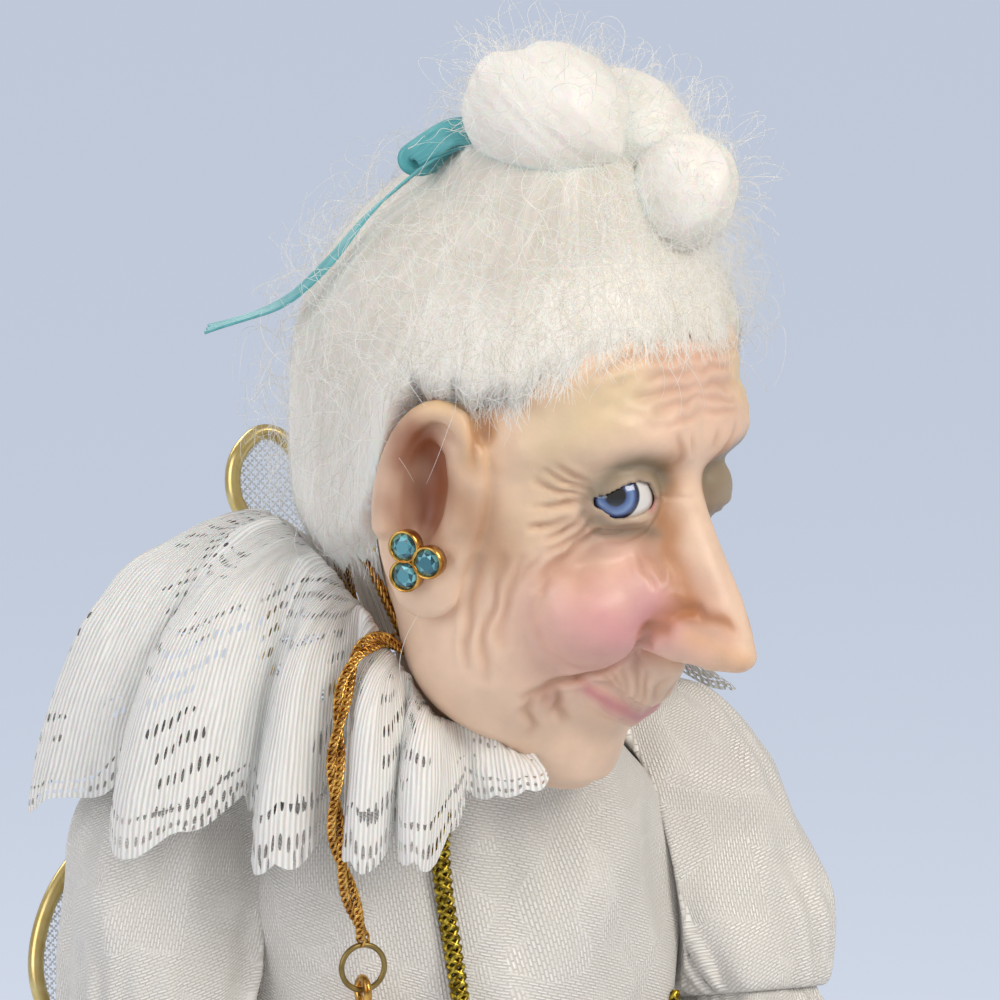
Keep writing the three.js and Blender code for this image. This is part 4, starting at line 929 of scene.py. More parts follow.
add_node(
    tree, "ShaderNodeMix", {"Factor": thread_shade_mask.outputs[0], "A": rgba("#d9dad6"), "B": rgba("#fbfbfa")},
    to=shader.inputs["Base Color"], data_type="RGBA"
)
openings = []
for stretch, shift, radius in [((1.25, 0.7, 1), 0.0, 0.21), ((1.4, 1.0, 1), 0.5, 0.25)]:
    lattice = add_node(
        tree, "ShaderNodeMapping", {"Vector": thread, "Scale": stretch, "Location": (0, shift, 0)}
    )
    cells = add_node(
        tree, "ShaderNodeTexVoronoi", {"Vector": lattice.outputs[0], "Scale": 1.0, "Randomness": 0.15}
    )
    openings.append(add_node(
        tree, "ShaderNodeMath", {0: cells.outputs["Distance"], 1: radius}, operation="LESS_THAN"
    ))
patches = add_node(tree, "ShaderNodeTexNoise", {"Vector": thread, "Scale": 0.16, "Detail": 1.0})
open_patch = add_node(tree, "ShaderNodeMath", {0: patches.outputs["Fac"], 1: 0.53}, operation="GREATER_THAN")
inward = add_node(tree, "ShaderNodeSeparateXYZ", {"Vector": thread})
border = add_node(tree, "ShaderNodeMath", {0: inward.outputs["Y"], 1: 1.0, 2: 0.6}, operation="COMPARE")
inner_holes = add_node(
    tree, "ShaderNodeMath", {0: openings[0].outputs[0], 1: open_patch.outputs[0]}, operation="MULTIPLY"
)
edge_holes = add_node(
    tree, "ShaderNodeMath", {0: openings[1].outputs[0], 1: border.outputs[0]}, operation="MULTIPLY"
)
holes = add_node(
    tree, "ShaderNodeMath", {0: inner_holes.outputs[0], 1: edge_holes.outputs[0]}, operation="MAXIMUM"
)
clear = add_node(tree, "ShaderNodeBsdfTransparent")
add_node(
    tree, "ShaderNodeMixShader", {0: holes.outputs[0], 1: shader.outputs[0], 2: clear.outputs[0]},
    to=tree.nodes["Material Output"].inputs["Surface"]
)


def grid_normals(grid):
    """The direction off the surface at each point of a grid."""
    along = np.gradient(grid, axis=0)
    down = np.gradient(grid, axis=1)
    normal = np.cross(along, down)
    return normal / np.maximum(np.linalg.norm(normal, axis=-1), 1e-9)[..., None]


def lace(name, grid, s, inward, flip):
    """A lace piece over a grid of points; its map runs along it and in from its scalloped edge."""
    flat = np.stack([s, inward], axis=-1)
    threads = 0.1 * rumple(xyz(s, 0.3 * inward, 0 * s), 1.5, 43)
    grid = grid + grid_normals(grid) * threads[..., None] * (-1 if flip else 1)
    return cloth(name, grid, None, cotton, 0, flip=flip, flat=flat)


collar_shape = stations([
    # share of the way round, share of the width, height of the gathers, rise, droop, distance out
    (0, 0.3, -1.2, 0.6, 2.4, 2.6),
    (0.06, 0.32, 0.4, 2.8, 11, 1.4),
    (0.139, 0.34, 1.3, 8, 17, 0.2),
    (0.206, 0.42, 1.5, 13, 23, 0),
    (0.278, 0.8, 1.8, 17, 26, 0),
    (0.357, 1, 2.6, 17.5, 25.5, 0),
    (0.476, 0.84, 4.4, 13.5, 16, 0),
    (0.615, 0.52, 5.4, 8, 6, 0),
    (0.754, 0.5, 4.6, 6, 4.4, 0),
    (0.893, 0.54, 2.6, 5.6, 4.4, 0),
    (1, 0.52, 1.6, 4, 4, 0),
])
fold_tips = [0, 0.085, 0.133, 0.205, 0.28, 0.36, 0.44, 0.53, 0.62, 0.72, 0.82, 0.92, 1]
collar_width = 25.0
collar_length = 132.0
collar_start, collar_sweep = 10, 252
neck_edge, collar_middle_y = 10.5, -3.3
columns, rows = 640, 110
u, v = np.meshgrid(np.linspace(0, 1, columns), np.linspace(0, 1, rows), indexing="ij")
share, gather, rise, droop, out = np.moveaxis(collar_shape(u), -1, 0)
width = collar_width * share * 1.25
along = u * collar_length
inward = (1 - v) * width
v = v * scalloped(along, width)
angle = np.radians(collar_start + collar_sweep * u - 12 * (1 - smoothstep(u, 0, 0.08)))
fold_run = 2 * np.pi * np.interp(u, fold_tips, np.arange(len(fold_tips)))
fold = (np.cos(fold_run) + 0.25 * np.cos(2 * fold_run + 0.7)) * smoothstep(u, 0, 0.05)
stand = 0.9 * smoothstep(u, 0.03, 0.16) * smoothstep(v, 0, 0.1)
radius = neck_edge + out + 4.0 * stand + share * (collar_width - 4.0 * stand) * (1 - (1 - v) ** 1.5)
radius += fold * (2.8 * smoothstep(v, 0.05, 0.6) + 0.6 * v)
climb = stand + (1 - stand) * np.sin(np.pi / 2 * np.minimum(v / 0.55, 1))
fall = np.maximum(0, (v - 0.1) / 0.9) ** 1.7
twist = 0.06 * np.sin(fold_run) * smoothstep(v, 0.05, 0.8) * smoothstep(u, 0.03, 0.1)
grid = xyz(
    -radius * np.sin(angle + twist),
    collar_middle_y - radius * np.cos(angle + twist),
    neckline + gather + rise * climb - droop * fall - 2.2 * v ** 1.3 * fold,
)
grid[..., 2] += 0.5 * rumple(grid, 8, 41) * v
pleats = 0.35 * rumple(xyz(u * 120, v * 4, 0 * u), 3.2, 47) * smoothstep(v, 0.06, 0.2)
grid = grid + grid_normals(grid) * pleats[..., None]
steps = np.linalg.norm(np.diff(grid[:, int(0.8 * rows)], axis=0), axis=1)
true_length = np.append(0, np.cumsum(steps))[:, None] + 0 * v
collar = lace("lace_collar_cloth", grid, true_length, inward, True)

# A second, shorter tier of the same lace lies on the collar's right half and shows its own scalloped edge.
tier_columns = slice(int(0.2 * columns), int(0.7 * columns))
lower = (grid + grid_normals(grid) * -0.8)[tier_columns]
u, v = np.meshgrid(u[tier_columns, 0], np.linspace(0, 1, 40), indexing="ij")
height = np.interp(u, [0.2, 0.3, 0.5, 0.7], [3.0, 9.0, 9.0, 4.0])
along = u * collar_length * 1.3
inward = (1 - v) * height
row = 0.1 * rows + (rows / width[tier_columns, :1]) * height * v * scalloped(along, height)
above = np.floor(row).astype(int)
column = np.arange(len(lower))[:, None]
part = (row - above)[..., None]
grid = lower[column, above] * (1 - part) + lower[column, above + 1] * part
grid[..., 2] += 0.3 * v + 0.4 * rumple(grid, 4, 46) * v
edging = lace("lace_collar_edging", grid, true_length[tier_columns, :1] + 0 * v, inward, True)
both = bmesh.new()
both.from_mesh(collar.data)
both.from_mesh(edging.data)
both.to_mesh(collar.data)
both.free()
bpy.data.objects.remove(edging)
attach(collar, "figure")
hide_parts("lace_collar")

columns, rows = 300, 70
flounce_length, flounce_width = 57.6, 14.5
for name, side, lifted in arms:
    u, v = np.meshgrid(np.linspace(0, 2 * np.pi, columns), np.linspace(0, 1, rows), indexing="ij")
    along = u / (2 * np.pi) * flounce_length
    inward = (1 - v) * flounce_width
    v = v * scalloped(along, flounce_width)
    small = 0.3 * np.cos(27 * u) * smoothstep(v, 0, 0.1) * smoothstep(0.6 - v, 0, 0.5)
    fold = 0.9 * v * np.cos(9 * u) + small
    radius = 4.06 + 6 * v ** 0.8 + fold
    grid = xyz(
        side * (gather_reach + 2.8 * v) + 0.72 ** v * radius * np.sin(u),
        -radius * np.cos(u) - 1.5 * v,
        gather_z - 0.7 - v * 13 * 0.86,
    )
    flounce = lace(f"lace_cuff_{name}", raise_arm(grid, lifted), along, inward, True)
    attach(flounce, f"arm_{name}")
    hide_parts(f"cuff_lace_{name}")

# Necklace
# A gilt curb chain round the neck, twisted on itself; its two ends hang together over the lace to
# a jump ring, which carries a small gilt disc on a bail.

# Gold plate on brass: warm, polished, with brown tarnish between the links.
gold, tree, shader = finish("polished gold plate", "#c8893a", 0.2, Metallic=1.0)
place = add_node(tree, "ShaderNodeTexCoord").outputs["Object"]
tarnish = add_node(tree, "ShaderNodeTexNoise", {"Vector": place, "Scale": 900.0, "Detail": 3.0})
tarnish_colour = add_node(
    tree, "ShaderNodeValToRGB", {"Fac": tarnish.outputs["Fac"]}, to=shader.inputs["Base Color"]
)
set_stops(tarnish_colour, [(0.32, "#9c682b"), (0.6, "#ddae5c")])
add_node(
    tree, "ShaderNodeMapRange", {"Value": tarnish.outputs["Fac"], "To Min": 0.32, "To Max": 0.14},
    to=shader.inputs["Roughness"]
)


def wire_ring(radius, wire, steps, sides):
    """Points and faces of a round wire ring in its own XY plane."""
    a, b = np.meshgrid(full_turn(steps), full_turn(sides), indexing="ij")
    reach = radius + wire * np.cos(b)
    points = xyz(reach * np.cos(a), reach * np.sin(a), wire * np.sin(b))
    faces = []
    for i in range(steps):
        for j in range(sides):
            n, k = (i + 1) % steps, (j + 1) % sides
            faces.append((i * sides + j, n * sides + j, n * sides + k, i * sides + k))
    return points.reshape(-1, 3), faces


link_points, link_faces = wire_ring(0.37, 0.135, 12, 6)
link_points[:, 0] *= 1.45
link_points[:, 2] += 0.14 * np.sin(np.pi * link_points[:, 0] / 0.76) * np.sign(link_points[:, 1])
chain_link = solid_mesh("chain_link", link_points, link_faces, gold)

inputs = [("Geometry", "Geometry"), ("Pitch", "Float"), ("Link", "Object"), ("Material", "Material")]
tree, sockets, given = node_group("links along a line", inputs)
as_curve = add_node(tree, "GeometryNodeMeshToCurve", {"Mesh": given.outputs["Geometry"]})
inputs = {"Curve": as_curve.outputs[0], "Length": given.outputs["Pitch"]}
even = add_node(tree, "GeometryNodeResampleCurve", inputs, mode="LENGTH")
tangent = add_node(tree, "GeometryNodeInputTangent")
laid = add_node(tree, "FunctionNodeAlignRotationToVector", {"Vector": tangent.outputs[0]}, axis="X")
outwards = add_node(tree, "GeometryNodeInputNamedAttribute", {"Name": "outward"}, data_type="FLOAT_VECTOR")
inputs = {"Rotation": laid.outputs[0], "Vector": outwards.outputs["Attribute"]}
upright = add_node(tree, "FunctionNodeAlignRotationToVector", inputs, axis="Z", pivot_axis="X")
rolled = add_node(tree, "FunctionNodeAxisAngleToRotation", {"Axis": (1, 0, 0), "Angle": 0.55})
inputs = {"Rotation": upright.outputs[0], "Rotate By": rolled.outputs[0]}
facing = add_node(tree, "FunctionNodeRotateRotation", inputs, rotation_space="LOCAL")
link_in = add_node(tree, "GeometryNodeObjectInfo", {"Object": given.outputs["Link"]})
inputs = {"Points": even.outputs[0], "Instance": link_in.outputs["Geometry"], "Rotation": facing.outputs[0]}
end_group(tree, add_node(tree, "GeometryNodeInstanceOnPoints", inputs), given)
link_tree = tree, sockets
link_pitch = 0.66


def chain(name, lines, outward):
    """Curb chain along one or more lines, the flat of its links turned outward."""
    layers = {"outward": ("FLOAT_VECTOR", np.concatenate([outward] * len(lines)))}
    values = {"Pitch": link_pitch * MM, "Link": chain_link, "Material": gold}
    made = along_lines(name, lines, layers, link_tree, values)
    made.data.shade_smooth()
    return made


def twisted_pair(line, outward, apart, pitch, length):
    """Two lines wound round a third."""
    first, second = line_axes(line, outward)
    run = np.linspace(0, length, len(line))
    pair = []
    for phase in (0, np.pi):
        angle = (2 * np.pi * run / pitch + phase)[:, None]
        pair.append(line + apart * (first * np.cos(angle) + second * np.sin(angle)))
    return pair


def laid_over(line, share):
    """A line lifted off the lace, by a share at each point, so that a chain along it rests on the folds."""
    off = np.array([-0.45, -0.75, 0.48])
    rise = []
    for point in line:
        hit = lace_surface.ray_cast(Vector((point + off * 16) * MM), Vector(-off), 0.026)[0]
        rise.append(0 if hit is None else max(0, (np.array(hit) / MM - point) @ off / (off @ off) + 1.3))
    rise = np.array(rise) * share
    wide = np.max([np.roll(rise, k) for k in range(-6, 7)], axis=0)
    even = np.convolve(np.pad(wide, 9, mode="edge"), np.full(19, 1 / 19), mode="valid")
    return line + off * even[:, None]


lace_surface = BVHTree.FromPolygons(
    [p.co for p in collar.data.vertices], [p.vertices for p in collar.data.polygons]
)
turn = np.linspace(0, 2 * np.pi, 300)
right_side = np.exp(-((2 * np.pi - turn - 1.35) / 0.42) ** 2)
chain_reach, chain_height = 8.65, 238.2
loop_radius = chain_reach + 4.8 * right_side
loop = xyz(
    loop_radius * np.sin(turn), neck_axis_y - loop_radius * np.cos(turn),
    chain_height + 1.6 * (1 - np.cos(turn)) + 13.6 * right_side
)
outward = xyz(np.sin(turn), -np.cos(turn), 0 * turn)
loop = laid_over(loop, smoothstep(right_side, 0.1, 0.3) * smoothstep(turn - 2 * np.pi + 1.22, 0, 0.2))
loop_length = np.linalg.norm(np.diff(loop, axis=0), axis=1).sum()
neck_pair = twisted_pair(loop, outward, 0.36, loop_length / 6, loop_length)
neck_chain = chain("curb_chain_neck", neck_pair, outward)
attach(neck_chain, "figure")
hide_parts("neck_chain")

ring_top = 217.4
hang_x, hang_y = -14.6, -17.4
drop_route = [
    (-9.4, -13.2, 243.0), (-12.2, -14.8, 243.6), (-14.8, -16.0, 242.4), (-16.6, -17.6, 239.2),
    (-17.8, -19.0, 233.0), (-17.4, -18.8, 226.0), (hang_x, hang_y, 217.7),
]
line = smooth_line(drop_route, 240)[0]
line = laid_over(line, smoothstep(np.linspace(1, 0, len(line)), 0.12, 0.3))
drop_length = np.linalg.norm(np.diff(line, axis=0), axis=1).sum()
outward = np.tile([-0.37, -0.93, 0.0], (len(line), 1))
chain_ends = chain("curb_chain_ends", twisted_pair(line, outward, 0.42, 13.0, drop_length), outward)
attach(chain_ends, "figure")
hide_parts("chain_drop")

points, faces = wire_ring(2.05, 0.26, 48, 12)
points = points[:, [0, 2, 1]] + [hang_x, hang_y, ring_top - 2.32]

# Dull brass: the same metal without the polish, browner and less bright.
brass, tree, shader = finish("dull brass wire", "#8f7846", 0.38, Metallic=1.0)
place = add_node(tree, "ShaderNodeTexCoord").outputs["Object"]
stain = add_node(tree, "ShaderNodeTexNoise", {"Vector": place, "Scale": 600.0, "Detail": 2.0})
add_node(
    tree, "ShaderNodeMix", {"Factor": stain.outputs["Fac"], "A": rgba("#6d5930"), "B": rgba("#b39c62")},
    to=shader.inputs["Base Color"], data_type="RGBA"
)
jump_ring = solid_mesh("gold_jump_ring", points, [face[::-1] for face in faces], brass)
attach(jump_ring, "figure")
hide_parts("jump_ring")

hinge_z = ring_top - 4.32
bail_radius, bail_wire, disc_radius = 1.2, 0.38, 3.2
bail_middle = hinge_z + 0.32 + 0.3 + bail_wire - bail_radius
points, faces = wire_ring(bail_radius, bail_wire, 36, 10)
bail = points[:, [2, 0, 1]] + [hang_x, hang_y, bail_middle]
disc_middle = bail_middle - bail_radius - disc_radius + bail_wire
profile = [
    (0.0, -0.75), (2.56, -0.75), (3.0, -0.62), (3.2, 0.0), (3.0, 0.6), (2.56, 0.75), (2.4, 0.62),
    (2.3, 0.42), (1.6, 0.55), (0.8, 0.7), (0.0, 0.75)
]
turn = full_turn(64)
rings = []
for r, y in profile:
    r = max(r, 0.01)
    rings.append([(hang_x + r * math.cos(a), hang_y - y, disc_middle + r * math.sin(a)) for a in turn])
disc, disc_faces = lathe_like(np.array(rings))
faces = faces + [tuple(len(bail) + k for k in face) for face in disc_faces]
pendant = solid_mesh("gold_pendant", np.concatenate([bail, disc]), faces, gold)
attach(pendant, "pendant")
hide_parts("pendant")
bpy.data.objects.remove(chain_link)

# Wings
# Each wing is one loop of pale gold wire with two lobes, covered with fine white net that is whipped to it;
# the stem is sewn to the patch on the back.

wing_course = np.array([
    (0, 0), (-0.02, 0.32), (-0.03, 0.64), (-0.015, 0.85), (0.055, 0.97), (0.145, 1), (0.23, 0.945),
    (0.245, 0.86), (0.185, 0.765), (0.15, 0.62), (0.22, 0.41), (0.44, 0.275), (0.72, 0.165), (0.93, 0.01),
    (1, -0.4), (0.885, -0.81), (0.655, -1), (0.395, -0.865), (0.17, -0.47),
])
wing_reach, wing_rise, wing_drop = 30.5, 42.4, 18.5
wing_lean = math.radians(12)
wing_root = (3.2, 18.65, 216)
wing_height = np.where(wing_course[:, 1] > 0, wing_rise, wing_drop) * wing_course[:, 1]
wing_flat = xyz(wing_course[:, 0] * wing_reach, wing_height, 0 * wing_height)
wing_line = smooth_line(wing_flat, 360, closed=True)[0]

# Pale gilt wire: a thin gold wash on steel.
wing_gold, tree, shader = finish("pale gilt wire", "#d9c07a", 0.28, Metallic=1.0)
place = add_node(tree, "ShaderNodeTexCoord").outputs["Object"]
wash = add_node(tree, "ShaderNodeTexNoise", {"Vector": place, "Scale": 700.0})
add_node(
    tree, "ShaderNodeMix", {"Factor": wash.outputs["Fac"], "A": rgba("#c4a75c"), "B": rgba("#ecdca4")},
    to=shader.inputs["Base Color"], data_type="RGBA"
)

# Net: fine white nylon with a faint gleam.
net_yarn, tree, shader = finish("fine white net", "#e6eaef", 0.5, Sheen_Weight=0.3)
place = add_node(tree, "ShaderNodeTexCoord").outputs["Object"]
gleam = add_node(tree, "ShaderNodeTexNoise", {"Vector": place, "Scale": 260.0})
add_node(
    tree, "ShaderNodeMapRange", {"Value": gleam.outputs["Fac"], "To Min": 0.3, "To Max": 0.7},
    to=shader.inputs["Roughness"]
)
add_node(
    tree, "ShaderNodeMix", {"Factor": gleam.outputs["Fac"], "A": rgba("#d5dce6"), "B": rgba("#f4f6f8")},
    to=shader.inputs["Base Color"], data_type="RGBA"
)


def wing_place(points, side):
    """Wing points in the frame: x across, y up along the leaning stem, z off the net."""
    x, y, z = points[..., 0], points[..., 1], points[..., 2]
    c, s = math.cos(wing_lean), math.sin(wing_lean)
    return xyz(side * (wing_root[0] + x), wing_root[1] + y * s - z * c, wing_root[2] + y * c + z * s)


def inside(points, outline):
    """Which flat points lie within a closed outline."""
    x, y = points[..., 0], points[..., 1]
    within = np.zeros(x.shape, bool)
    for (ax, ay), (bx, by) in zip(outline, np.roll(outline, -1, axis=0)):
        if ay == by:
            continue
        crosses = (ay > y) != (by > y)
        within ^= crosses & (x < (bx - ax) * (y - ay) / (by - ay) + ax)
    return within


net_cell = 0.22
across, upward = np.meshgrid(
    np.arange(-1.5, wing_reach + 1, net_cell), np.arange(-wing_drop - 1, wing_rise + 1, net_cell),
    indexing="ij"
)
within = inside(np.stack([across, upward], axis=-1), wing_line[::3, :2])
i, j = np.meshgrid(np.arange(across.shape[0]), np.arange(across.shape[1]), indexing="ij")
thread = ((i + j) % 4 == 0) | ((i - j) % 4 == 0)
keep = (within & thread)[:-1, :-1] & within[1:, 1:]
for name, side in [("left", 1), ("right", -1)]:
    wire = strands(f"wing_wire_{name}", [wing_place(wing_line, side)], 0.75, wing_gold, sides=12)
    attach(wire, f"wing_{name}")
    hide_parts(f"wing_frame_{name}")
    sag = 0.5 * rumple(xyz(across, upward, 0 * across), 12, 61)
    grid = wing_place(xyz(across, upward, 0.3 * sag), side)
    web = cloth(f"wing_web_{name}", grid, (32, 62), net_yarn, 0.12, keep=keep, flip=side > 0)
    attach(web, f"wing_{name}")
    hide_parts(f"wing_net_{name}")

# Head
# Polymer clay modelled over a core, baked and painted: an old face with a long drooping nose, heavy lids,
# round cheeks and deep wrinkles. It sits on the neck's peg, turned to its left and nodding.

head_turn, head_nod = math.radians(28), math.radians(12)
head_ahead, head_height = 8, 258


def head_place(points):
    """Head points (left, forward, up from between the ears) in the frame."""
    l, f, h = points[..., 0], points[..., 1], points[..., 2]
    x, y = l, -(f * math.cos(head_nod) + h * math.sin(head_nod) + head_ahead)
    z = h * math.cos(head_nod) - f * math.sin(head_nod)
    c, s = math.cos(head_turn), math.sin(head_turn)
    return xyz(x * c - y * s, x * s + y * c + neck_axis_y, z + head_height)


def egg(space, middle, half):
    """Distance from an egg-shaped lump of clay."""
    scaled = [(a - m) / r for a, m, r in zip(space, middle, half)]
    near = np.sqrt(sum(q * q for q in scaled))
    steep = np.sqrt(sum((q / r) ** 2 for q, r in zip(scaled, half)))
    return near * (near - 1) / np.maximum(steep, 1e-4)


skull_shape = stations([
    # height, widest place, half width, front, back
    (-25.4, 7.4, 2.6, 10.2, 4.6),
    (-24.0, 7.2, 5.4, 11.8, 3.0),
    (-20.5, 6.0, 9.6, 12.8, 0.6),
    (-16.5, 3.6, 12.4, 14.0, -3.0),
    (-13.4, 2.0, 13.2, 15.2, -7.6),
    (-11, 1.4, 13.6, 16.2, -10.6),
    (-4, 0.8, 14.2, 16.8, -14.0),
    (3, 0, 14.8, 16.2, -16.8),
    (9, -0.5, 15.4, 17.4, -19),
    (16, -1.4, 15.6, 15.2, -19.4),
    (21.5, -2.6, 13.2, 10.4, -17),
    (25.6, -3.6, 8.2, 3.6, -11.6),
    (27.2, -3.8, 3, -1, -7),
])
eye_middle = np.array([5.8, 13.9, 2.9])
eye_radius = 3.3
left_eye_middle = np.array([5.5, 13.5, 2.6])
left_eye_radius = 2.9
lid_radius = 3.9
head_step = 0.28
head_low = np.array([0.0, -21.5, -29.0])
space = clay_grid(head_low, (21.5, 29.5, 28.5), head_step)
l, f, h = space
outline = np.moveaxis(skull_shape(h[0, 0]), -1, 0).astype(np.float32)
widest, half, front, back = outline[:, None, None]
reach = np.where(f > widest, front - widest, widest - back)
form = ((l / half) ** 2.17 + (np.abs(f - widest) / reach) ** 2.17) ** (1 / 2.17) - 1
slopes = np.gradient(form, head_step)
field = form / np.maximum(np.sqrt(sum(a * a for a in slopes)), 0.02)
field = np.maximum(field, np.maximum(h - 27.2, -25.4 - h))


def swell(middle, reach, height):
    """A soft swelling, or a hollow where height is below nothing, to be taken off the distance."""
    gap = sum((a - m) ** 2 for a, m in zip(space, middle))
    return height * np.exp(-gap / (2 * reach * reach))


# Brow, sockets, muzzle, chin and jaw
brow = [(0, 15.6, 8.2), (3.2, 15.9, 8.8), (6.5, 14.7, 9.0), (9.8, 11.9, 8.4), (12.4, 8.4, 6.6)]
field = join(field, rope(space, brow, [1.6, 2.1, 2.3, 2.1, 1.6]), 2.5)
field = carve(field, egg(space, (6.2, 18.8, 3.2), (4.4, 3.8, 3.4)), 1.8)
field = join(field, egg(space, (0, 10.9, -13.4), (6.6, 7.0, 5.8)), 2.5)
field = join(field, egg(space, (0, 8.6, -22.2), (5.0, 4.4, 4.4)), 2.5)
field = join(field, egg(space, (8.6, 3.6, -14.6), (4.6, 7.4, 6.2)), 3.0)
field = field - swell((14.2, 8.5, 9), 3.0, -0.9) - swell((4.6, 12.4, -19.6), 2.0, -0.7)

# Nose: bridge, drooping tip, its flat sides, the wings and the nostrils
bridge = [(0, 15.0, 8), (0, 16.0, 4), (0, 17.9, 0.6), (0, 20.2, -2.6), (0, 22.6, -5.6), (0, 24.4, -7.8)]
field = join(field, rope(space, bridge, [1.4, 1.7, 2.1, 2.4, 2.5, 2.2]), 1.6)
flank = [(1.6, 15.2, 3.6), (2.2, 17.2, -1.0), (2.6, 18.6, -4.4), (2.4, 20.4, -7.4)]
field = join(field, rope(space, flank, [1.2, 1.7, 2.2, 2.3]), 2.0)
field = join(field, egg(space, (0, 24.9, -8.9), (1.9, 2.6, 1.7)), 0.8)
nostril_wing = [(3.2, 18.8, -8.3), (2.6, 20.8, -8.7), (1.2, 23.4, -9.2)]
field = join(field, rope(space, nostril_wing, [1.9, 1.9, 1.5]), 1.2)
field = carve(field, egg(space, (1.8, 21.4, -11.0), (0.9, 1.9, 0.8)), 0.3)

# Upper lip, cheeks that hang over it, and the thin pressed mouth
field = join(field, egg(space, (0, 13.0, -14.0), (4.4, 5.5, 3.6)), 1.4)
field = join(field, egg(space, (0, 16.0, -12.0), (3.0, 3.8, 2.4)), 1.2)
field = join(field, egg(space, (6.6, 13.4, -7.6), (5.6, 5.4, 5.2)), 1.0)
field = field - swell((9.8, 15.4, -2.6), 1.9, -0.9)
lower_lip = [(0, 15.0, -17.9), (2.4, 15.1, -16.9), (5.2, 13.9, -15.3)]
field = join(field, rope(space, lower_lip, [1.2, 1.15, 0.75]), 0.6)
mouth_line = [
    (0, 17.0, -17.0), (2.4, 16.9, -16.1), (4.1, 16.2, -15.0), (5.3, 15.2, -14.35), (6.7, 14.1, -13.9)
]
field = carve(field, rope(space, mouth_line, [0.5, 0.5, 0.48, 0.42, 0.3]), 0.4)

# Ears: a flap, its rolled rim, the deep hollow, the ridges before and behind it and the lobe
ear_c, ear_s = math.cos(math.radians(24)), math.sin(math.radians(24))
ear = ((l - 14.6) * ear_c + (f - 1.2) * ear_s, -(l - 14.6) * ear_s + (f - 1.2) * ear_c, h + 0.6)
flap = egg(ear, (1.0, -0.4, 0), (1.5, 4.8, 9.4))
rim_turn = np.radians(np.arange(-60, 215, 12))
rim = [(1.9 + 0.5 * math.sin(a), -0.4 + 4.2 * math.cos(a), 0.6 + 8.3 * math.sin(a)) for a in rim_turn]
flap = join(flap, rope(ear, rim, [1.0] * len(rim)), 0.8)
flap = join(flap, egg(ear, (1.4, 0.6, -7.4), (1.3, 2.9, 2.9)), 1.0)
flap = carve(flap, egg(ear, (3.2, -0.8, 1.4), (3.2, 2.4, 5.4)), 0.5)
ear_ridge = [(1.5, -0.6, 6.6), (2.2, 1.3, 5.6), (2.2, 2.3, 2.6), (2.1, 2.4, -0.8), (1.6, 1.3, -3.6)]
flap = join(flap, rope(ear, ear_ridge, [0.6, 0.9, 1.0, 1.0, 0.8]), 0.8)
field = join(field, flap, 0.8)

# Bore for the neck and its peg
neck_y = -(f * math.cos(head_nod) + h * math.sin(head_nod) + head_ahead)
neck_z = h * math.cos(head_nod) - f * math.sin(head_nod)
neck_gap = np.sqrt(l * l + neck_y * neck_y)
field = np.maximum(field, -np.maximum(neck_gap - 7.1, neck_z + 8.7))

# Lids round the right eye, with the cheek pushed up under it; the left lid hangs almost shut
left_face = join(field, egg(space, left_eye_middle, (3.6, 3.6, 3.4)), 0.6)
left_face = left_face - swell((6.2, 17.5, -7.0), 3.2, -1.6)
left_face = np.maximum(left_face, -egg(space, left_eye_middle, [left_eye_radius + 0.12] * 3))
field = join(field, egg(space, (4.6, 17.6, -5.0), (2.4, 2.6, 2.6)), 1.6)
field = join(field, egg(space, eye_middle, [lid_radius] * 3), 0.6)
socket = egg(space, eye_middle, [eye_radius + 0.12] * 3)
upper_lid = np.interp(
    l, [4.6, 5.0, 5.4, 6.5, 7.65, 8.57, 9.3, 9.7], [3.4, 4.4, 5.0, 5.2, 4.95, 4.35, 3.6, 2.9]
)
lower_lid = np.interp(l, [4.6, 5.2, 7.1, 8.36, 9.2, 9.7], [3.4, 2.9, 2.3, 1.8, 2.4, 2.9])
opening = np.maximum(np.maximum(h - upper_lid, lower_lid - h), 14.2 - f)
field = carve(field, opening.astype(np.float32), 0.4)
field = np.maximum(field, -socket)
field = np.concatenate([field[:0:-1], left_face], axis=0)
full_low = head_low - [(field.shape[0] // 2) * head_step, 0, 0]
points, quads = clay_skin(field, full_low, head_step)
head_made = solid_mesh("clay_head", points, quads.tolist(), clay)

# The crown and the back, which the hair hides, need fewer faces than the face does.
hidden = head_made.vertex_groups.new(name="hidden")
hidden.add(np.nonzero((points[:, 2] > 18) | (points[:, 1] < -4))[0].tolist(), 1.0, "REPLACE")
thinned = head_made.modifiers.new("thinned", "DECIMATE")
thinned.ratio = 0.66
thinned.vertex_group = "hidden"
smoothed = head_made.modifiers.new("smoothed", "SMOOTH")
smoothed.factor = 0.35
smoothed.iterations = 2
settle(head_made)
head_made.vertex_groups.clear()
head_points = np.empty(len(head_made.data.vertices) * 3)
head_made.data.vertices.foreach_get("co", head_points)
head_points = head_points.reshape(-1, 3) / MM
normals = np.empty(head_points.size)
head_made.data.vertex_normals.foreach_get("vector", normals)
normals = normals.reshape(-1, 3)

# Wrinkles and paint are laid out on a map of the face: degrees round from the front, and height.
face_turn = np.arctan2(np.abs(head_points[:, 0]), head_points[:, 1] - 2)
face_degrees = np.degrees(face_turn) + 1.1 * rumple(head_points, 3.4, 73)
face_reach = np.hypot(head_points[:, 0], head_points[:, 1] - 2)
face_height = head_points[:, 2] + 0.16 * rumple(head_points, 2.6, 74)


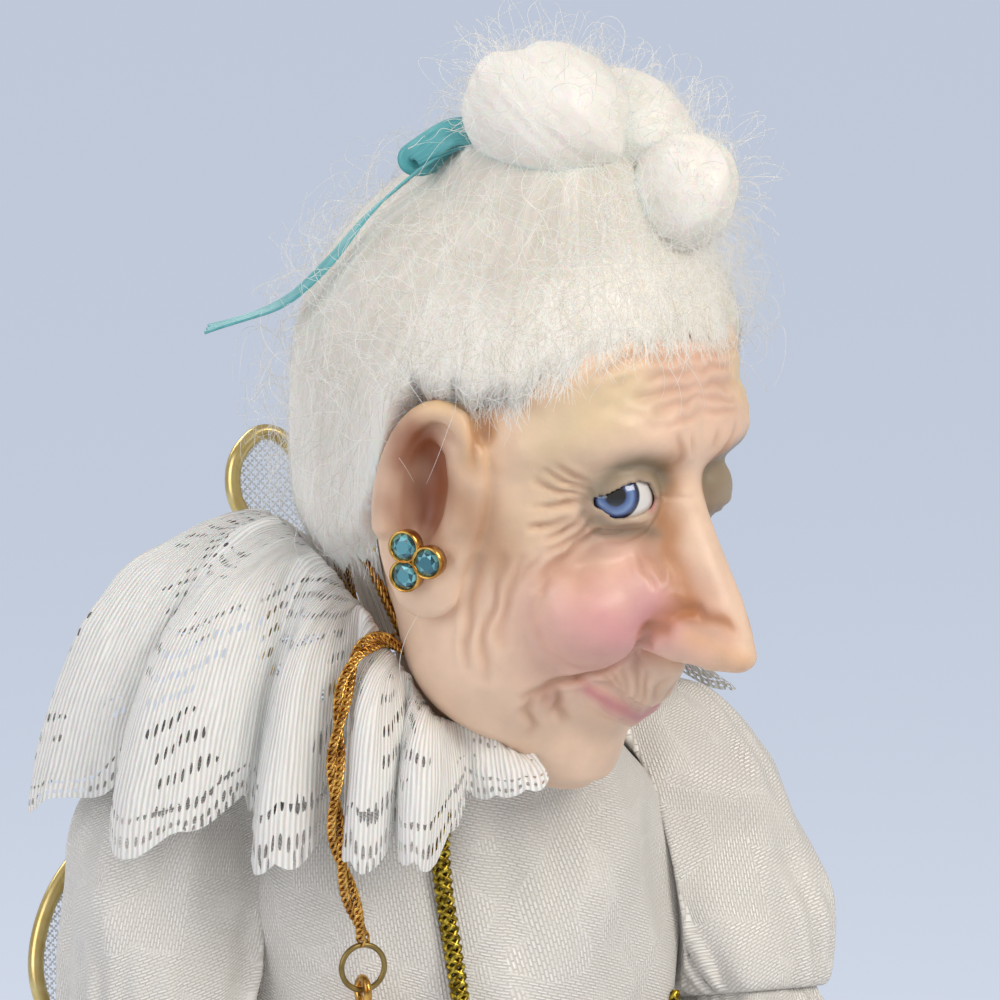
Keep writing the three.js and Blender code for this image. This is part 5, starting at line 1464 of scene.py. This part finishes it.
def off_line(line):
    """How far the head's points lie from a line on the map, and their share of the way along it."""
    nearest, share = np.full(len(head_points), 1e3), np.zeros(len(head_points))
    steps = max(len(line) - 1, 1)
    for k in range(steps):
        (start_turn, start_height), (end_turn, end_height) = line[k], line[min(k + 1, len(line) - 1)]
        way_x, way_y = np.radians(end_turn - start_turn) * face_reach, end_height - start_height
        gap_x, gap_y = np.radians(face_degrees - start_turn) * face_reach, face_height - start_height
        t = np.clip((gap_x * way_x + gap_y * way_y) / np.maximum(way_x ** 2 + way_y ** 2, 1e-6), 0, 1)
        gap = np.hypot(gap_x - t * way_x, gap_y - t * way_y)
        share = np.where(gap < nearest, (k + t) / steps, share)
        nearest = np.minimum(nearest, gap)
    return nearest, share


wrinkles = [
    # half width, depth, line on the map
    # across the forehead and over the nose
    (0.42, 0.3, [(44, 14.2), (33, 15.6), (21, 15.9), (9, 15.8), (0, 15.5)]),
    (0.35, 0.2, [(40, 15.6), (29, 16.4), (17, 16.7), (4, 16.9)]),
    (0.4, 0.24, [(24, 14.2), (12, 14.6), (0, 14.5)]),
    (0.4, 0.26, [(26, 12.6), (12, 13.3), (0, 13.4)]),
    (0.35, 0.2, [(22, 11.6), (10, 12.2), (0, 12.3)]),
    (0.35, 0.2, [(18, 10.7), (8, 11), (0, 11.1)]),
    (0.4, 0.26, [(14, 9.6), (12, 8.2), (11, 6.8)]),
    (0.35, 0.22, [(6, 9.4), (5, 7.8)]),
    # crow's feet and the bags under the eye
    (0.3, 0.3, [(41, 4.4), (46, 5.0), (51, 5.9)]),
    (0.3, 0.34, [(40, 3.6), (47, 4.1), (54, 4.9)]),
    (0.3, 0.36, [(39, 2.8), (48, 3.1), (57, 3.6)]),
    (0.3, 0.36, [(39, 2.4), (48, 1.9), (57, 1.3)]),
    (0.3, 0.34, [(44, 1.1), (53, -0.3), (58, -0.6)]),
    (0.3, 0.36, [(38, 2.0), (43, 0.4), (50, -1.4)]),
    (0.36, 0.38, [(36, 1.6), (41, -0.8), (48, -2.4)]),
    (0.42, 0.42, [(44, -3.6), (40, -1.6), (35, -0.2), (28, 0.5), (21, 0.9)]),
    (0.42, 0.38, [(52, -5.7), (45, -3.6), (37, -1.2)]),
    (0.3, 0.24, [(33, 0.9), (27, 1.3), (20, 1.6)]),
    # beside the nose, and the fold from its wing round the mouth
    (0.3, 0.28, [(18, -2), (18, -3.8)]),
    (0.3, 0.28, [(15.5, -1.8), (15.5, -3.4)]),
    (0.45, 0.34, [(14, -6.4), (11, -5.2), (7, -5.2), (5, -6)]),
    (0.45, 0.55, [(16, -7.4), (17, -9.2), (17, -11), (22, -12.8), (32, -14.2), (41, -14.8), (49, -16.4)]),
    # down the cheek
    (0.45, 0.3, [(73, -4.5), (74, -8.5), (74, -12), (71, -14.4)]),
    (0.45, 0.32, [(65, -4), (66, -8), (67, -12.6), (65, -15)]),
    (0.45, 0.3, [(57, -3.5), (60, -7.5), (61, -11.6)]),
    (0.4, 0.25, [(51, -3.2), (57, -5.8)]),
    # over and beside the mouth
    (0.28, 0.26, [(23, -12.8), (18, -14.4)]),
    (0.28, 0.26, [(20, -12.5), (15, -14.6)]),
    (0.28, 0.26, [(16, -12.6), (13, -15)]),
    (0.28, 0.26, [(13, -11.6), (9, -15.4)]),
    (0.28, 0.26, [(9, -12.6), (6, -15.8)]),
    (0.28, 0.22, [(4, -13), (2.5, -16)]),
    (0.3, 0.22, [(14, -10.4), (11, -12.2)]),
    (0.5, 0.4, [(39, -14.8), (34, -17), (28, -18.8)]),
    (0.5, 0.35, [(46, -15.6), (46, -17.8), (42, -20.2)]),
    (0.4, 0.25, [(43, -15.2), (41, -16.8)]),
    # before the ear
    (0.55, 0.45, [(81, 9), (78, 6.6), (77, 3.8)]),
]
dent, lip, painted_groove_shade = (np.zeros(len(head_points)) for _ in range(3))
for half_width, depth, line in wrinkles:
    gap, share = off_line(line)
    fade = np.sin(np.pi * np.clip(share * 0.9 + 0.05, 0, 1)) ** 0.5
    groove = np.exp(-(gap / half_width) ** 2) * fade
    dent = np.maximum(dent, depth * groove)
    lip = np.maximum(lip, 0.4 * depth * np.exp(-((gap - 2 * half_width) / half_width) ** 2) * fade)
    painted_groove_shade = np.maximum(painted_groove_shade, groove * depth / 0.4)
push = lip - dent
crepe = [
    # place on the map, how far it spreads, wavelength and depth
    (47, 0.6, 3.4, 1.5, 0.14),
    (30, 11.6, 3, 2.2, 0.12),
    (12, 10, 3, 2.6, 0.1),
]
for turned, height, spread, wavelength, amount in crepe:
    gap = off_line([(turned, height)])[0]
    push += amount * np.exp(-(gap / spread) ** 2) * rumple(head_points, wavelength, 71)
head_points = head_points + normals * push[:, None]

# Washes on the face: real paint on the cheeks, lids and lips, and also painted shade beside the nose, under
# the eye bag, before the ear and in its hollow.
paint_and_shade_washes = [
    # colour, strength, how far it spreads, line on the map
    ("#ecc3b0", 0.6, 5.0, [(0, 13.5), (14, 13)]),
    ("#e3cfa3", 0.65, 3.2, [(54, 8.5), (42, 11.5), (33, 13.2)]),
    ("#e9cdaa", 0.6, 4.0, [(62, -1), (55, 4)]),
    ("#e09aa3", 0.8, 4.2, [(33, -7.4), (25, -8.4), (18, -6.2)]),
    ("#e6b3a5", 0.5, 3.8, [(44, -9), (36, -12)]),
    # painted shade in the fold under the eye bag
    ("#b07a52", 0.35, 1.3, [(39, -3.8), (33, -2)]),
    # painted shadow that the ear casts forward onto the cheek
    ("#b98a68", 0.7, 2.3, [(84, 1.5), (75, -0.5), (67, -3.6)]),
    # painted shade down the nose's side, orange as clay looks in shade
    ("#b87a48", 0.8, 1.5, [(14, 6.6), (10, 4), (11, 1.5), (12, -0.6), (11, -2.8), (9, -4.9)]),
    # painted shade in the crease round the top of the nostril's wing
    ("#b8703a", 0.7, 1.0, [(16, -7.4), (14, -6), (9, -5.4), (4, -5.8)]),
    ("#e8b27e", 0.5, 1.3, [(8, -8), (2, -9)]),
    ("#8d7f69", 0.95, 1.45, [(37, 4.0), (31, 6.0), (24, 6.8), (17, 6.2), (14, 4.6)]),
    ("#94836d", 0.75, 0.8, [(34, 1.4), (27, 0.9), (16, 0.6)]),
    # painted shade in the ear's deep hollow
    ("#8f4a22", 0.95, 2.4, [(95, 5.4), (94, 2), (93, -2)]),
    ("#d3a86e", 0.6, 1.4, [(81, 9), (78, 5)]),
    ("#e0bd7c", 0.5, 1.8, [(97, 9.4), (90, 9.6)]),
    ("#c7978a", 0.6, 1.0, [(40, -15.8), (36, -17)]),
    ("#d08c8c", 0.95, 0.8, [(25, -15), (10, -16.9), (0, -17.9)]),
]
base_tone, groove_shade_tone = np.array(linear("#f1d2b9")), np.array(linear("#b97f5b"))
tones = np.tile(base_tone, (len(head_points), 1)) * (1 + 0.03 * rumple(head_points, 9, 72))[:, None]
for colour, strength, spread, line in paint_and_shade_washes:
    amount = strength * np.exp(-(off_line(line)[0] / spread) ** 2)
    tones += amount[:, None] * (np.array(linear(colour)) - tones)
# Painted shade: the skin darkens towards brown along each wrinkle's groove, more where the groove is deeper.
tones += 0.5 * np.clip(painted_groove_shade, 0, 1)[:, None] * (groove_shade_tone - tones)
lid_gap = np.linalg.norm(head_points - eye_middle * [-1, 1, 1], axis=1)
left_gap = np.linalg.norm(head_points - left_eye_middle, axis=1)
shadow = np.maximum(0.6 * smoothstep(4.2 - lid_gap, 0, 0.5), 0.85 * smoothstep(4.3 - left_gap, 0, 0.6))
tones += shadow[:, None] * (np.array(linear("#8f816b")) - tones)
duct = np.exp(-(off_line([(17.5, 3.0)])[0] / 0.6) ** 2) * (head_points[:, 0] < 0)
tones += duct[:, None] * (np.array(linear("#c58580")) - tones)
gloss = np.exp(-(off_line([(25, -15), (10, -16.9), (0, -17.9)])[0] / 0.9) ** 2)
head_made.data.vertices.foreach_set("co", (head_place(head_points) * MM).ravel())
head_made.data.update()
painted(head_made, tones, gloss)
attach(head_made, "head")
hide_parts("head")

# Eyes
# Glass eyes pressed into the sockets, blue irises looking to the doll's right.

gaze = np.array([-0.80, 0.56, 0.28])
gaze /= np.linalg.norm(gaze)

# Glass eye: a white ball with a painted iris under a clear, very smooth coat.
eye_glass, tree, shader = finish("painted glass eye", "#eeece8", 0.12, Coat_Weight=1.0, Coat_Roughness=0.02)
off_axis = add_node(tree, "ShaderNodeAttribute", attribute_name="off_axis")
rings_colour = add_node(
    tree, "ShaderNodeValToRGB", {"Fac": off_axis.outputs["Fac"]}, to=shader.inputs["Base Color"]
)
set_stops(rings_colour, [
    (0.0, "#07080c"), (0.085, "#07080c"), (0.098, "#405a90"), (0.15, "#7391c4"), (0.178, "#3c528c"),
    (0.195, "#131a38"), (0.215, "#182040"), (0.228, "#e8e6e4"), (1.0, "#e6dcd6"),
])

eye_steps = 72
a, b = np.meshgrid(full_turn(eye_steps), np.linspace(0, np.pi, 61), indexing="ij")
aside = np.cross(gaze, [0, 0, 1.0])
aside /= np.linalg.norm(aside)
upward = np.cross(aside, gaze)
round_gaze = aside * np.cos(a)[..., None] + upward * np.sin(a)[..., None]
ball = gaze * np.cos(b)[..., None] + round_gaze * np.sin(b)[..., None]
rings = np.swapaxes(ball, 0, 1)[1:-1]
eyes = [("left", left_eye_middle, left_eye_radius), ("right", eye_middle * [-1, 1, 1], eye_radius)]
for name, middle, radius in eyes:
    points, faces = lathe_like(rings * radius + middle)
    eye = solid_mesh(f"glass_eye_{name}", head_place(points), [face[::-1] for face in faces], eye_glass)
    angle = np.arccos(np.clip((points - middle) @ gaze / radius, -1, 1)) / np.pi
    store(eye.data, "off_axis", "FLOAT", angle)
    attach(eye, "head")
    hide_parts(f"eye_{name}")

# Hair
# White mohair felted over the crown, combed down to a soft edge round the face and wound into a bun of
# three rolls; fine hairs cross each other on top and stray all round.

hair_middle = np.array([0.0, -3.6, 7.5])
hair_half = np.array([19.2, 21.5, 22.2])
bun_foot = np.array([-1.5, -2.0, 29.0])
nape_stretch = 1.45
head_radius = 20

# Mohair: fine white hair with grey and straw shades and a silky gleam; each hair has its own tone.
mohair = []
for title, deep in [("felted white mohair", 0.6), ("single mohair hairs", 0.0)]:
    made, tree, shader = finish(
        title, "#e9e8e4", 0.5, Sheen_Weight=0.4, Sheen_Roughness=0.4, Subsurface_Weight=deep,
        Subsurface_Scale=0.002
    )
    tone = add_node(tree, "ShaderNodeAttribute", attribute_name="tone")
    tone_colour = add_node(
        tree, "ShaderNodeValToRGB", {"Fac": tone.outputs["Fac"]}, to=shader.inputs["Base Color"]
    )
    set_stops(tone_colour, [(0.0, "#bdb8ab"), (0.5, "#e4e1da"), (1.0, "#fafaf8")])
    mohair.append(made)


def toned(made, tones):
    """Stores the tone of each point of a hair piece."""
    store(made.data, "tone", "FLOAT", np.clip(tones, 0, 1))


def mass_way(axis):
    """A function from a turn about an axis and a tilt from it to directions on an egg-shaped mass."""
    axis = np.array(axis, float) / np.linalg.norm(axis)
    first = np.cross(axis, [0.1, 0.9, 0.3])
    first /= np.linalg.norm(first)
    second = np.cross(axis, first)

    def way(turned, tilt):
        ring = first * np.cos(turned)[..., None] + second * np.sin(turned)[..., None]
        return axis * np.cos(tilt)[..., None] + ring * np.sin(tilt)[..., None]

    return way


hairline = np.array([
    (40, 17.6), (13.4, 17.6), (11, 14.0), (8.6, 10.6), (5, 8.9), (-1.2, 8.8), (-2.6, 6.6), (-3.2, -2),
    (-6, -9.6), (-13, -10.8), (-40, -11), (-40, 60), (40, 60)
])
cap_way = mass_way((bun_foot - hair_middle) / hair_half)
columns, rows = 900, 56
around = full_turn(columns)
trial = np.linspace(0.05, np.pi - 0.05, 420)
u, tilt = np.meshgrid(around, trial, indexing="ij")
way = cap_way(u, tilt)
way[..., 2] *= np.where(way[..., 2] < 0, nape_stretch, 1.0)
covered = inside((hair_middle + way * hair_half)[..., 1:], hairline)
edge_tilt = trial[np.argmax(~covered, axis=1)]
rng = np.random.default_rng(7)
edge_circle = head_radius * xyz(np.cos(around), np.sin(around), 0 * around)
edge_tilt = edge_tilt + 0.028 * rumple(edge_circle, 2.4, 81) + rng.uniform(-0.02, 0.014, columns)


def on_cap(turned, tilt, lift):
    """Places on the combed cap; it thins out towards its edge."""
    way = cap_way(turned, tilt)
    share = tilt / np.interp(turned, around, edge_tilt, period=2 * np.pi)
    behind = 2.6 * smoothstep(0.75 - way[..., 1], 0, 0.3) * np.abs(way[..., 0]) ** 3
    thin = (0.3 + 0.5 * np.abs(way[..., 0]) + behind) * smoothstep(share, 0.92, 1.03)
    foot = 3.0 * (1 - smoothstep(tilt, 0.25, 0.65))
    nape = np.where(way[..., 2] < 0, nape_stretch, 1.0)
    half = hair_half * xyz(np.ones_like(nape), np.ones_like(nape), nape)
    return hair_middle + way * (half * 0.985 + (lift + foot - thin)[..., None])


u, v = np.meshgrid(around, np.linspace(0.02, 1, rows), indexing="ij")
tilt = v * edge_tilt[:, None]
flow = xyz(head_radius * np.cos(u), head_radius * np.sin(u), 2.5 * tilt)
relief = 0.22 * rumple(flow * [1, 1, 2], 6, 82) + 0.05 * rumple(flow, 1.3, 83) + 0.03 * rumple(flow, 0.6, 84)
relief = np.sin(tilt) * relief
cap = cloth(
    "mohair_cap", head_place(on_cap(u, tilt, relief)), (120, 60), mohair[0], 0, closed=True, flip=True
)
# Painted shade: the cap is greyer over the crown and whiter towards its edge round the face; the streaks are
# the mohair's own tone.
streak = 0.05 * rumple(flow, 1.1, 85) + 0.07 * rumple(flow * [1, 1, 3], 9, 86)
toned(cap, 0.36 + streak + 0.5 * smoothstep(v, 0.55, 1))
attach(cap, "head")
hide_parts("hair_cap")


def roots(count, shares):
    """Random turns and tilts on a mass, within shares of the way from pole to pole."""
    turned = rng.uniform(0, 2 * np.pi, (count, 1))
    return turned, np.arccos(rng.uniform(np.cos(shares[1] * np.pi), np.cos(shares[0] * np.pi), (count, 1)))


def grown(place, start_turn, start_tilt, along, aside, lift):
    """Lines of hair from how far they run along and aside of their starts and stand off the mass."""
    tilt = np.clip(start_tilt + along / head_radius, 0.06, 3.1)
    turned = start_turn + aside / (head_radius * np.maximum(np.sin(start_tilt), 0.15))
    return list(place(turned, tilt, lift))


def hairs(place, limit, count, shares, length, heading, spread, rise, curl, steps):
    """Fine hairs on a mass: where they grow, how long they are, how they lie and how far they stand off."""
    t = np.linspace(-0.5, 0.5, steps)[None]
    start_turn, start_tilt = roots(count, shares)
    start_tilt = np.minimum(start_tilt, limit(start_turn) * (1 - 0.3 * rng.uniform(0, 1, (count, 1)) ** 1.6))
    size = length * rng.uniform(0.5, 1.5, (count, 1))
    calm = np.clip(1.3 - start_tilt / limit(start_turn), 0.25, 1)
    lie = heading + spread * rng.normal(size=(count, 1)) * calm
    bend = curl * rng.normal(size=(count, 1))
    along = size * (t * np.cos(lie) - bend * t * t * np.sin(lie))
    aside = size * (t * np.sin(lie) + bend * t * t * np.cos(lie))
    lift = rng.uniform(0.02, 0.3, (count, 1)) + rise * rng.uniform(0, 1, (count, 1)) ** 2 * (2 * t) ** 2
    return grown(place, start_turn, start_tilt, along, aside, lift)


def strays(place, limit, count, shares, height, curl, steps=14):
    """Single hairs that stand off a mass in loose curls."""
    t = np.linspace(0, 1, steps)[None]
    start_turn, start_tilt = roots(count, shares)
    start_tilt = np.minimum(start_tilt, limit(start_turn) * rng.uniform(0.5, 0.96, (count, 1)))
    lie = rng.uniform(0, 2 * np.pi, (count, 1))
    run = height * rng.uniform(0.4, 1.6, (count, 1))
    coil = t * 2 * np.pi * rng.uniform(0.3, 1.3, (count, 1)) + rng.uniform(0, 6.28, (count, 1))
    sway = curl * rng.uniform(0.3, 1, (count, 1)) * t
    along = run * t * np.cos(lie) + sway * np.cos(coil)
    aside = run * t * np.sin(lie) + sway * np.sin(coil)
    lift = height * rng.uniform(0.15, 1, (count, 1)) ** 1.5 * np.sin(t * rng.uniform(1.2, 2.6, (count, 1)))
    return grown(place, start_turn, start_tilt, along, aside, lift)


def hair_piece(name, lines, thickness, low_tone, middle=None, half=None):
    """One piece of many hairs, which rides on the head; on a mass they are flat and face outward."""
    placed, outward, corners = [head_place(one) for one in lines], None, 3
    if middle is not None:
        points = np.concatenate(lines)
        off = (points - middle) / half ** 2
        off /= np.linalg.norm(off, axis=1)[:, None]
        outward, corners = head_place(points + off) - head_place(points), 2
    made = strands(name, placed, thickness, mohair[1], sides=3, taper=hair_taper, outward=outward)
    toned(made, np.repeat(rng.uniform(low_tone, 1, len(lines)), [len(one) * corners for one in lines]))
    made.visible_shadow = False
    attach(made, "head")


hair_taper = lambda t: 0.3 + 0.7 * np.sin(np.pi * np.clip(t, 0.02, 0.98)) ** 0.7
cap_edge = lambda turned: np.interp(turned, around, edge_tilt, period=2 * np.pi)
felted = hairs(on_cap, cap_edge, 7000, (0.06, 0.8), 3.6, 0.0, 1.5, 0.9, 1.0, 6)
hair_piece("felted_hair", felted, 0.026, 0.1, hair_middle, hair_half)
combed = hairs(on_cap, cap_edge, 4200, (0.74, 0.99), 3.6, 0.0, 0.6, 0.3, 0.4, 7)
hair_piece("combed_hair", combed, 0.032, 0.3, hair_middle, hair_half)
lobe_foot, toward_nose = np.array([-16.4, 2.4, -10.4]), np.array([0.643, 0.766, 0])
fallen_course = [(0, 0), (-0.8, 2.7), (-0.8, 5.4), (0.5, 8.5)]
fallen = smooth_line([lobe_foot + toward_nose * a - [0, 0, b] for a, b in fallen_course], 20)[0]
hair_piece("stray_hair", [fallen] + strays(on_cap, cap_edge, 1700, (0.03, 0.9), 5.5, 1.8), 0.026, 0.9)

rolls = [
    # name, place, half sizes, direction of the roll's axis
    ("bun_top", (-3.6, -2.6, 33.2), (7.6, 8, 6.6), (0.5, 0.5, 0.7)),
    ("bun_middle", (4.6, -0.2, 31.6), (6.2, 6.6, 5.8), (-0.2, 0.4, 0.9)),
    ("bun_front", (3.2, 8.8, 28.8), (4.8, 4.8, 5.6), (-0.9, 0.2, 0.4)),
]
round_limit = lambda turned: np.full_like(turned, 3.05)
for name, middle, half, axis in rolls:
    middle, half = np.array(middle), np.array(half)
    roll_way = mass_way(axis)
    on_roll = lambda turned, tilt, lift: middle + roll_way(turned, tilt) * (half * 0.96 + lift[..., None])
    u, tilt = np.meshgrid(full_turn(150), np.linspace(0.03, np.pi - 0.03, 110), indexing="ij")
    flow = xyz(2.2 * np.cos(u), 2.2 * np.sin(u), 7 * tilt)
    relief = np.sin(tilt) * (0.25 * rumple(flow, 5, 91) + 0.05 * rumple(flow, 1.2, 92))
    points, faces = lathe_like(np.swapaxes(on_roll(u, tilt, relief), 0, 1))
    core = solid_mesh(f"mohair_{name}", head_place(points), [face[::-1] for face in faces], mohair[0])
    tones = np.swapaxes(0.72 + 0.05 * rumple(flow, 1.3, 93) + 0.06 * rumple(flow, 5, 94), 0, 1).ravel()
    toned(core, np.concatenate([tones, [0.6, 0.6]]))
    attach(core, "head")
    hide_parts(name)
    wound = hairs(on_roll, round_limit, 1800, (0.05, 0.95), 4.0, np.pi / 2, 0.9, 0.6, 0.9, 7)
    hair_piece(f"wound_hair_{name}", wound, 0.026, 0.5, middle, half)
    hair_piece(f"stray_hair_{name}", strays(on_roll, round_limit, 480, (0.05, 0.95), 5.0, 1.8), 0.026, 0.9)

# Ribbon
# Turquoise satin ribbon, tied round the foot of the bun in a small bow, with one loose end that runs down
# behind the head.

# Satin ribbon: fine lengthwise threads with a soft streak of light across them.
ribbon_satin, tree, shader = finish("turquoise satin ribbon", "#4db3bf", 0.32, Sheen_Weight=0.25)
thread = add_node(tree, "ShaderNodeUVMap", uv_map="cloth").outputs[0]
lengthwise = add_node(tree, "ShaderNodeMapping", {"Vector": thread, "Scale": (0.1, 1, 1)})
rib_and_sheen = add_node(tree, "ShaderNodeTexNoise", {"Vector": lengthwise.outputs[0], "Scale": 6.0, "Detail": 2.0})
# Painted sheen: the colour runs from dark to light teal along these lengthwise streaks.
add_node(
    tree, "ShaderNodeMix", {"Factor": rib_and_sheen.outputs["Fac"], "A": rgba("#2a8f98"), "B": rgba("#7fd3d8")},
    to=shader.inputs["Base Color"], data_type="RGBA"
)
add_node(
    tree, "ShaderNodeBump", {"Height": rib_and_sheen.outputs["Fac"], "Strength": 0.4, "Distance": 0.0001},
    to=shader.inputs["Normal"]
)


def ribbon(name, route, width, count, twist=0.0, closed=False, facing=None):
    """A flat ribbon along a route on the head, its face turned away from the head's middle."""
    line, length = smooth_line(route, count, closed)
    outward = line - [0, 0, 7.5] if facing is None else np.tile(facing, (count, 1))
    face, across = line_axes(line, outward)
    share = np.linspace(0, 1, count)
    roll = (twist * np.sin(share * 9))[:, None]
    across = across * np.cos(roll) + face * np.sin(roll)
    wide = np.linspace(-0.5, 0.5, 7)
    grid = line[:, None] + across[:, None] * (width * np.broadcast_to(wide, (count, 7)))[..., None]
    grid += face[:, None] * (0.08 * np.cos(6 * np.pi * wide))[None, :, None]
    return cloth(name, head_place(grid), (length, width), ribbon_satin, 0.14), head_place(line), length


band_turn = full_turn(40)
band_radius, band_height, band_tilt = 5.2, 27.4, 1.1
band_x, band_y = -3.6 + band_radius * np.cos(band_turn), -2.6 + band_radius * np.sin(band_turn)
band_route = xyz(band_x, band_y, band_height - band_tilt * np.sin(band_turn))
band = ribbon("ribbon_tied_band", band_route, 2.4, 160, closed=True)[0]
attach(band, "head")
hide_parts("ribbon_band")

knot = np.array([-7.4, -8.4, 29.0])
bow_across, bow_up, bow_face = np.array([(0.643, 0.766, 0), (0, 0.1, 1.0), (-0.766, 0.643, 0.3)])
bow_course = [
    (0.8, 1.5, 0.3), (-1.4, 0.9, 1.3), (-3.7, -1.3, 1.0), (-4.2, -2.0, 0.5), (-3.4, -2.1, 0.0),
    (-1.5, -1.2, -0.2), (0.5, -0.7, 0.3)
]
loops = [knot + bow_across * a + bow_up * b + bow_face * c for a, b, c in bow_course]
bow = ribbon("ribbon_tied_bow", loops, 2.5, 140, twist=0.15, facing=bow_face)[0]
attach(bow, "head")
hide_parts("ribbon_bow")

tail_route = [
    knot, (-9.6, -9.6, 27.6), (-12, -11, 25), (-14, -12.8, 21.6), (-16, -14.4, 17.4), (-16.6, -17.6, 13.2),
    (-16, -22, 10.2), (-16.4, -27, 7.4)
]
tail, tail_line, tail_length = ribbon("ribbon_loose_end", tail_route, 1.35, 160, twist=0.35)
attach(tail, "head")
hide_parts("ribbon_tail")

# Earrings
# Three round paste stones in a cast gilt setting on each lobe, held by a post through it.

# Paste stone: dark aquamarine glass over bright foil; each facet is painted its own random tone from dark to
# pale teal, a painted glint.
paste, tree, shader = finish(
    "aquamarine paste", "#2f8fa6", 0.06, Metallic=0.3, Coat_Weight=1.0, Coat_Roughness=0.02
)
facet_glint = add_node(tree, "ShaderNodeAttribute", attribute_name="facet_glint")
facet_glint_colour = add_node(
    tree, "ShaderNodeValToRGB", {"Fac": facet_glint.outputs["Fac"]}, to=shader.inputs["Base Color"]
)
set_stops(facet_glint_colour, [(0.0, "#0a3542"), (0.5, "#23707f"), (1.0, "#7fd0da")])

stone_radius, stone_pitch, setting_wall = 1.26, 1.5, 0.2
earring_place = np.array([18.1, 2.3, -5.3])
earring_turn = 0.25
cut_rings = [
    (0.3, -0.5, 8, 0.0), (1.0, -0.3, 8, 0.0), (1.26, 0.0, 16, 0.0), (0.95, 0.3, 8, 0.5),
    (0.62, 0.44, 8, 0.0)
]


def brilliant():
    """Points and faces of a round faceted stone, its table towards +Z."""
    points = []
    for r, z, n, shift in cut_rings:
        angles = [2 * math.pi * (k + shift) / n for k in range(n)]
        points += [(r * math.cos(a), r * math.sin(a), z) for a in angles]
    starts = np.cumsum([0] + [n for _, _, n, _ in cut_rings])
    faces = [tuple(range(starts[0] + 7, starts[0] - 1, -1)), tuple(range(starts[4], starts[4] + 8))]
    for k in range(8):
        n = (k + 1) % 8
        faces += [(starts[0] + k, starts[0] + n, starts[1] + n, starts[1] + k)]
        low, middle, high = starts[2] + 2 * k, starts[2] + (2 * k + 1) % 16, starts[2] + (2 * k + 2) % 16
        faces += [(starts[1] + k, starts[1] + n, high, middle, low)]
        top, last = starts[3] + k, starts[3] + (k - 1) % 8
        faces += [
            (low, middle, top), (middle, high, top), (low, top, last), (last, top, starts[4] + k),
            (top, starts[4] + n, starts[4] + k)
        ]
    return np.array(points), faces


def on_lobe(points, side):
    """Setting points (across, up, out of the face) at the lobe of one ear."""
    x, y, z = points[..., 0], points[..., 1], points[..., 2]
    c, s = math.cos(earring_turn), math.sin(earring_turn)
    return xyz(
        side * (earring_place[0] + z * c + x * s), earring_place[1] + z * s - x * c, earring_place[2] + y
    )


for name, side in [("left", 1), ("right", -1)]:
    seat_turns = [2 * math.pi * k / 3 + 0.21 for k in range(3)]
    seats = [(-stone_pitch * math.cos(a), stone_pitch * math.sin(a)) for a in seat_turns]
    points, faces = [], []
    rim = stone_radius + setting_wall
    wall = [(0.01, -0.6), (rim, -0.6), (rim + 0.05, 0.2), (rim - 0.02, 0.6), (stone_radius + 0.06, 0.62),
            (stone_radius - 0.08, 0.42), (stone_radius - 0.1, -0.2), (0.01, -0.2)]
    turn = full_turn(40)
    for x, y in seats:
        rings = [[(x + r * math.cos(a), y + r * math.sin(a), z) for a in turn] for r, z in wall]
        cup, cup_faces = lathe_like(np.array(rings))
        faces += [tuple(len(points) * len(cup) + k for k in face) for face in cup_faces]
        points.append(cup)
    setting_faces = faces if side > 0 else [face[::-1] for face in faces]
    placed = head_place(on_lobe(np.concatenate(points), side))
    setting = solid_mesh(f"gilt_setting_{name}", placed, setting_faces, gold)
    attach(setting, "head")
    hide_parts(f"earring_bezel_{name}")
    for k, (x, y) in enumerate(seats):
        cut, cut_faces = brilliant()
        cut = on_lobe(cut + [x, y, 0.3], side)
        cut_faces = cut_faces if side > 0 else [face[::-1] for face in cut_faces]
        stone = solid_mesh(f"paste_stone_{name}_{k + 1}", head_place(cut), cut_faces, paste, smooth=False)
        # Painted glint: a random tone for each facet.
        store(stone.data, "facet_glint", "FLOAT", rng.uniform(0, 1, len(cut_faces)), "FACE")
        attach(stone, "head")
        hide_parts(f"earring_stone_{name}_{k + 1}")
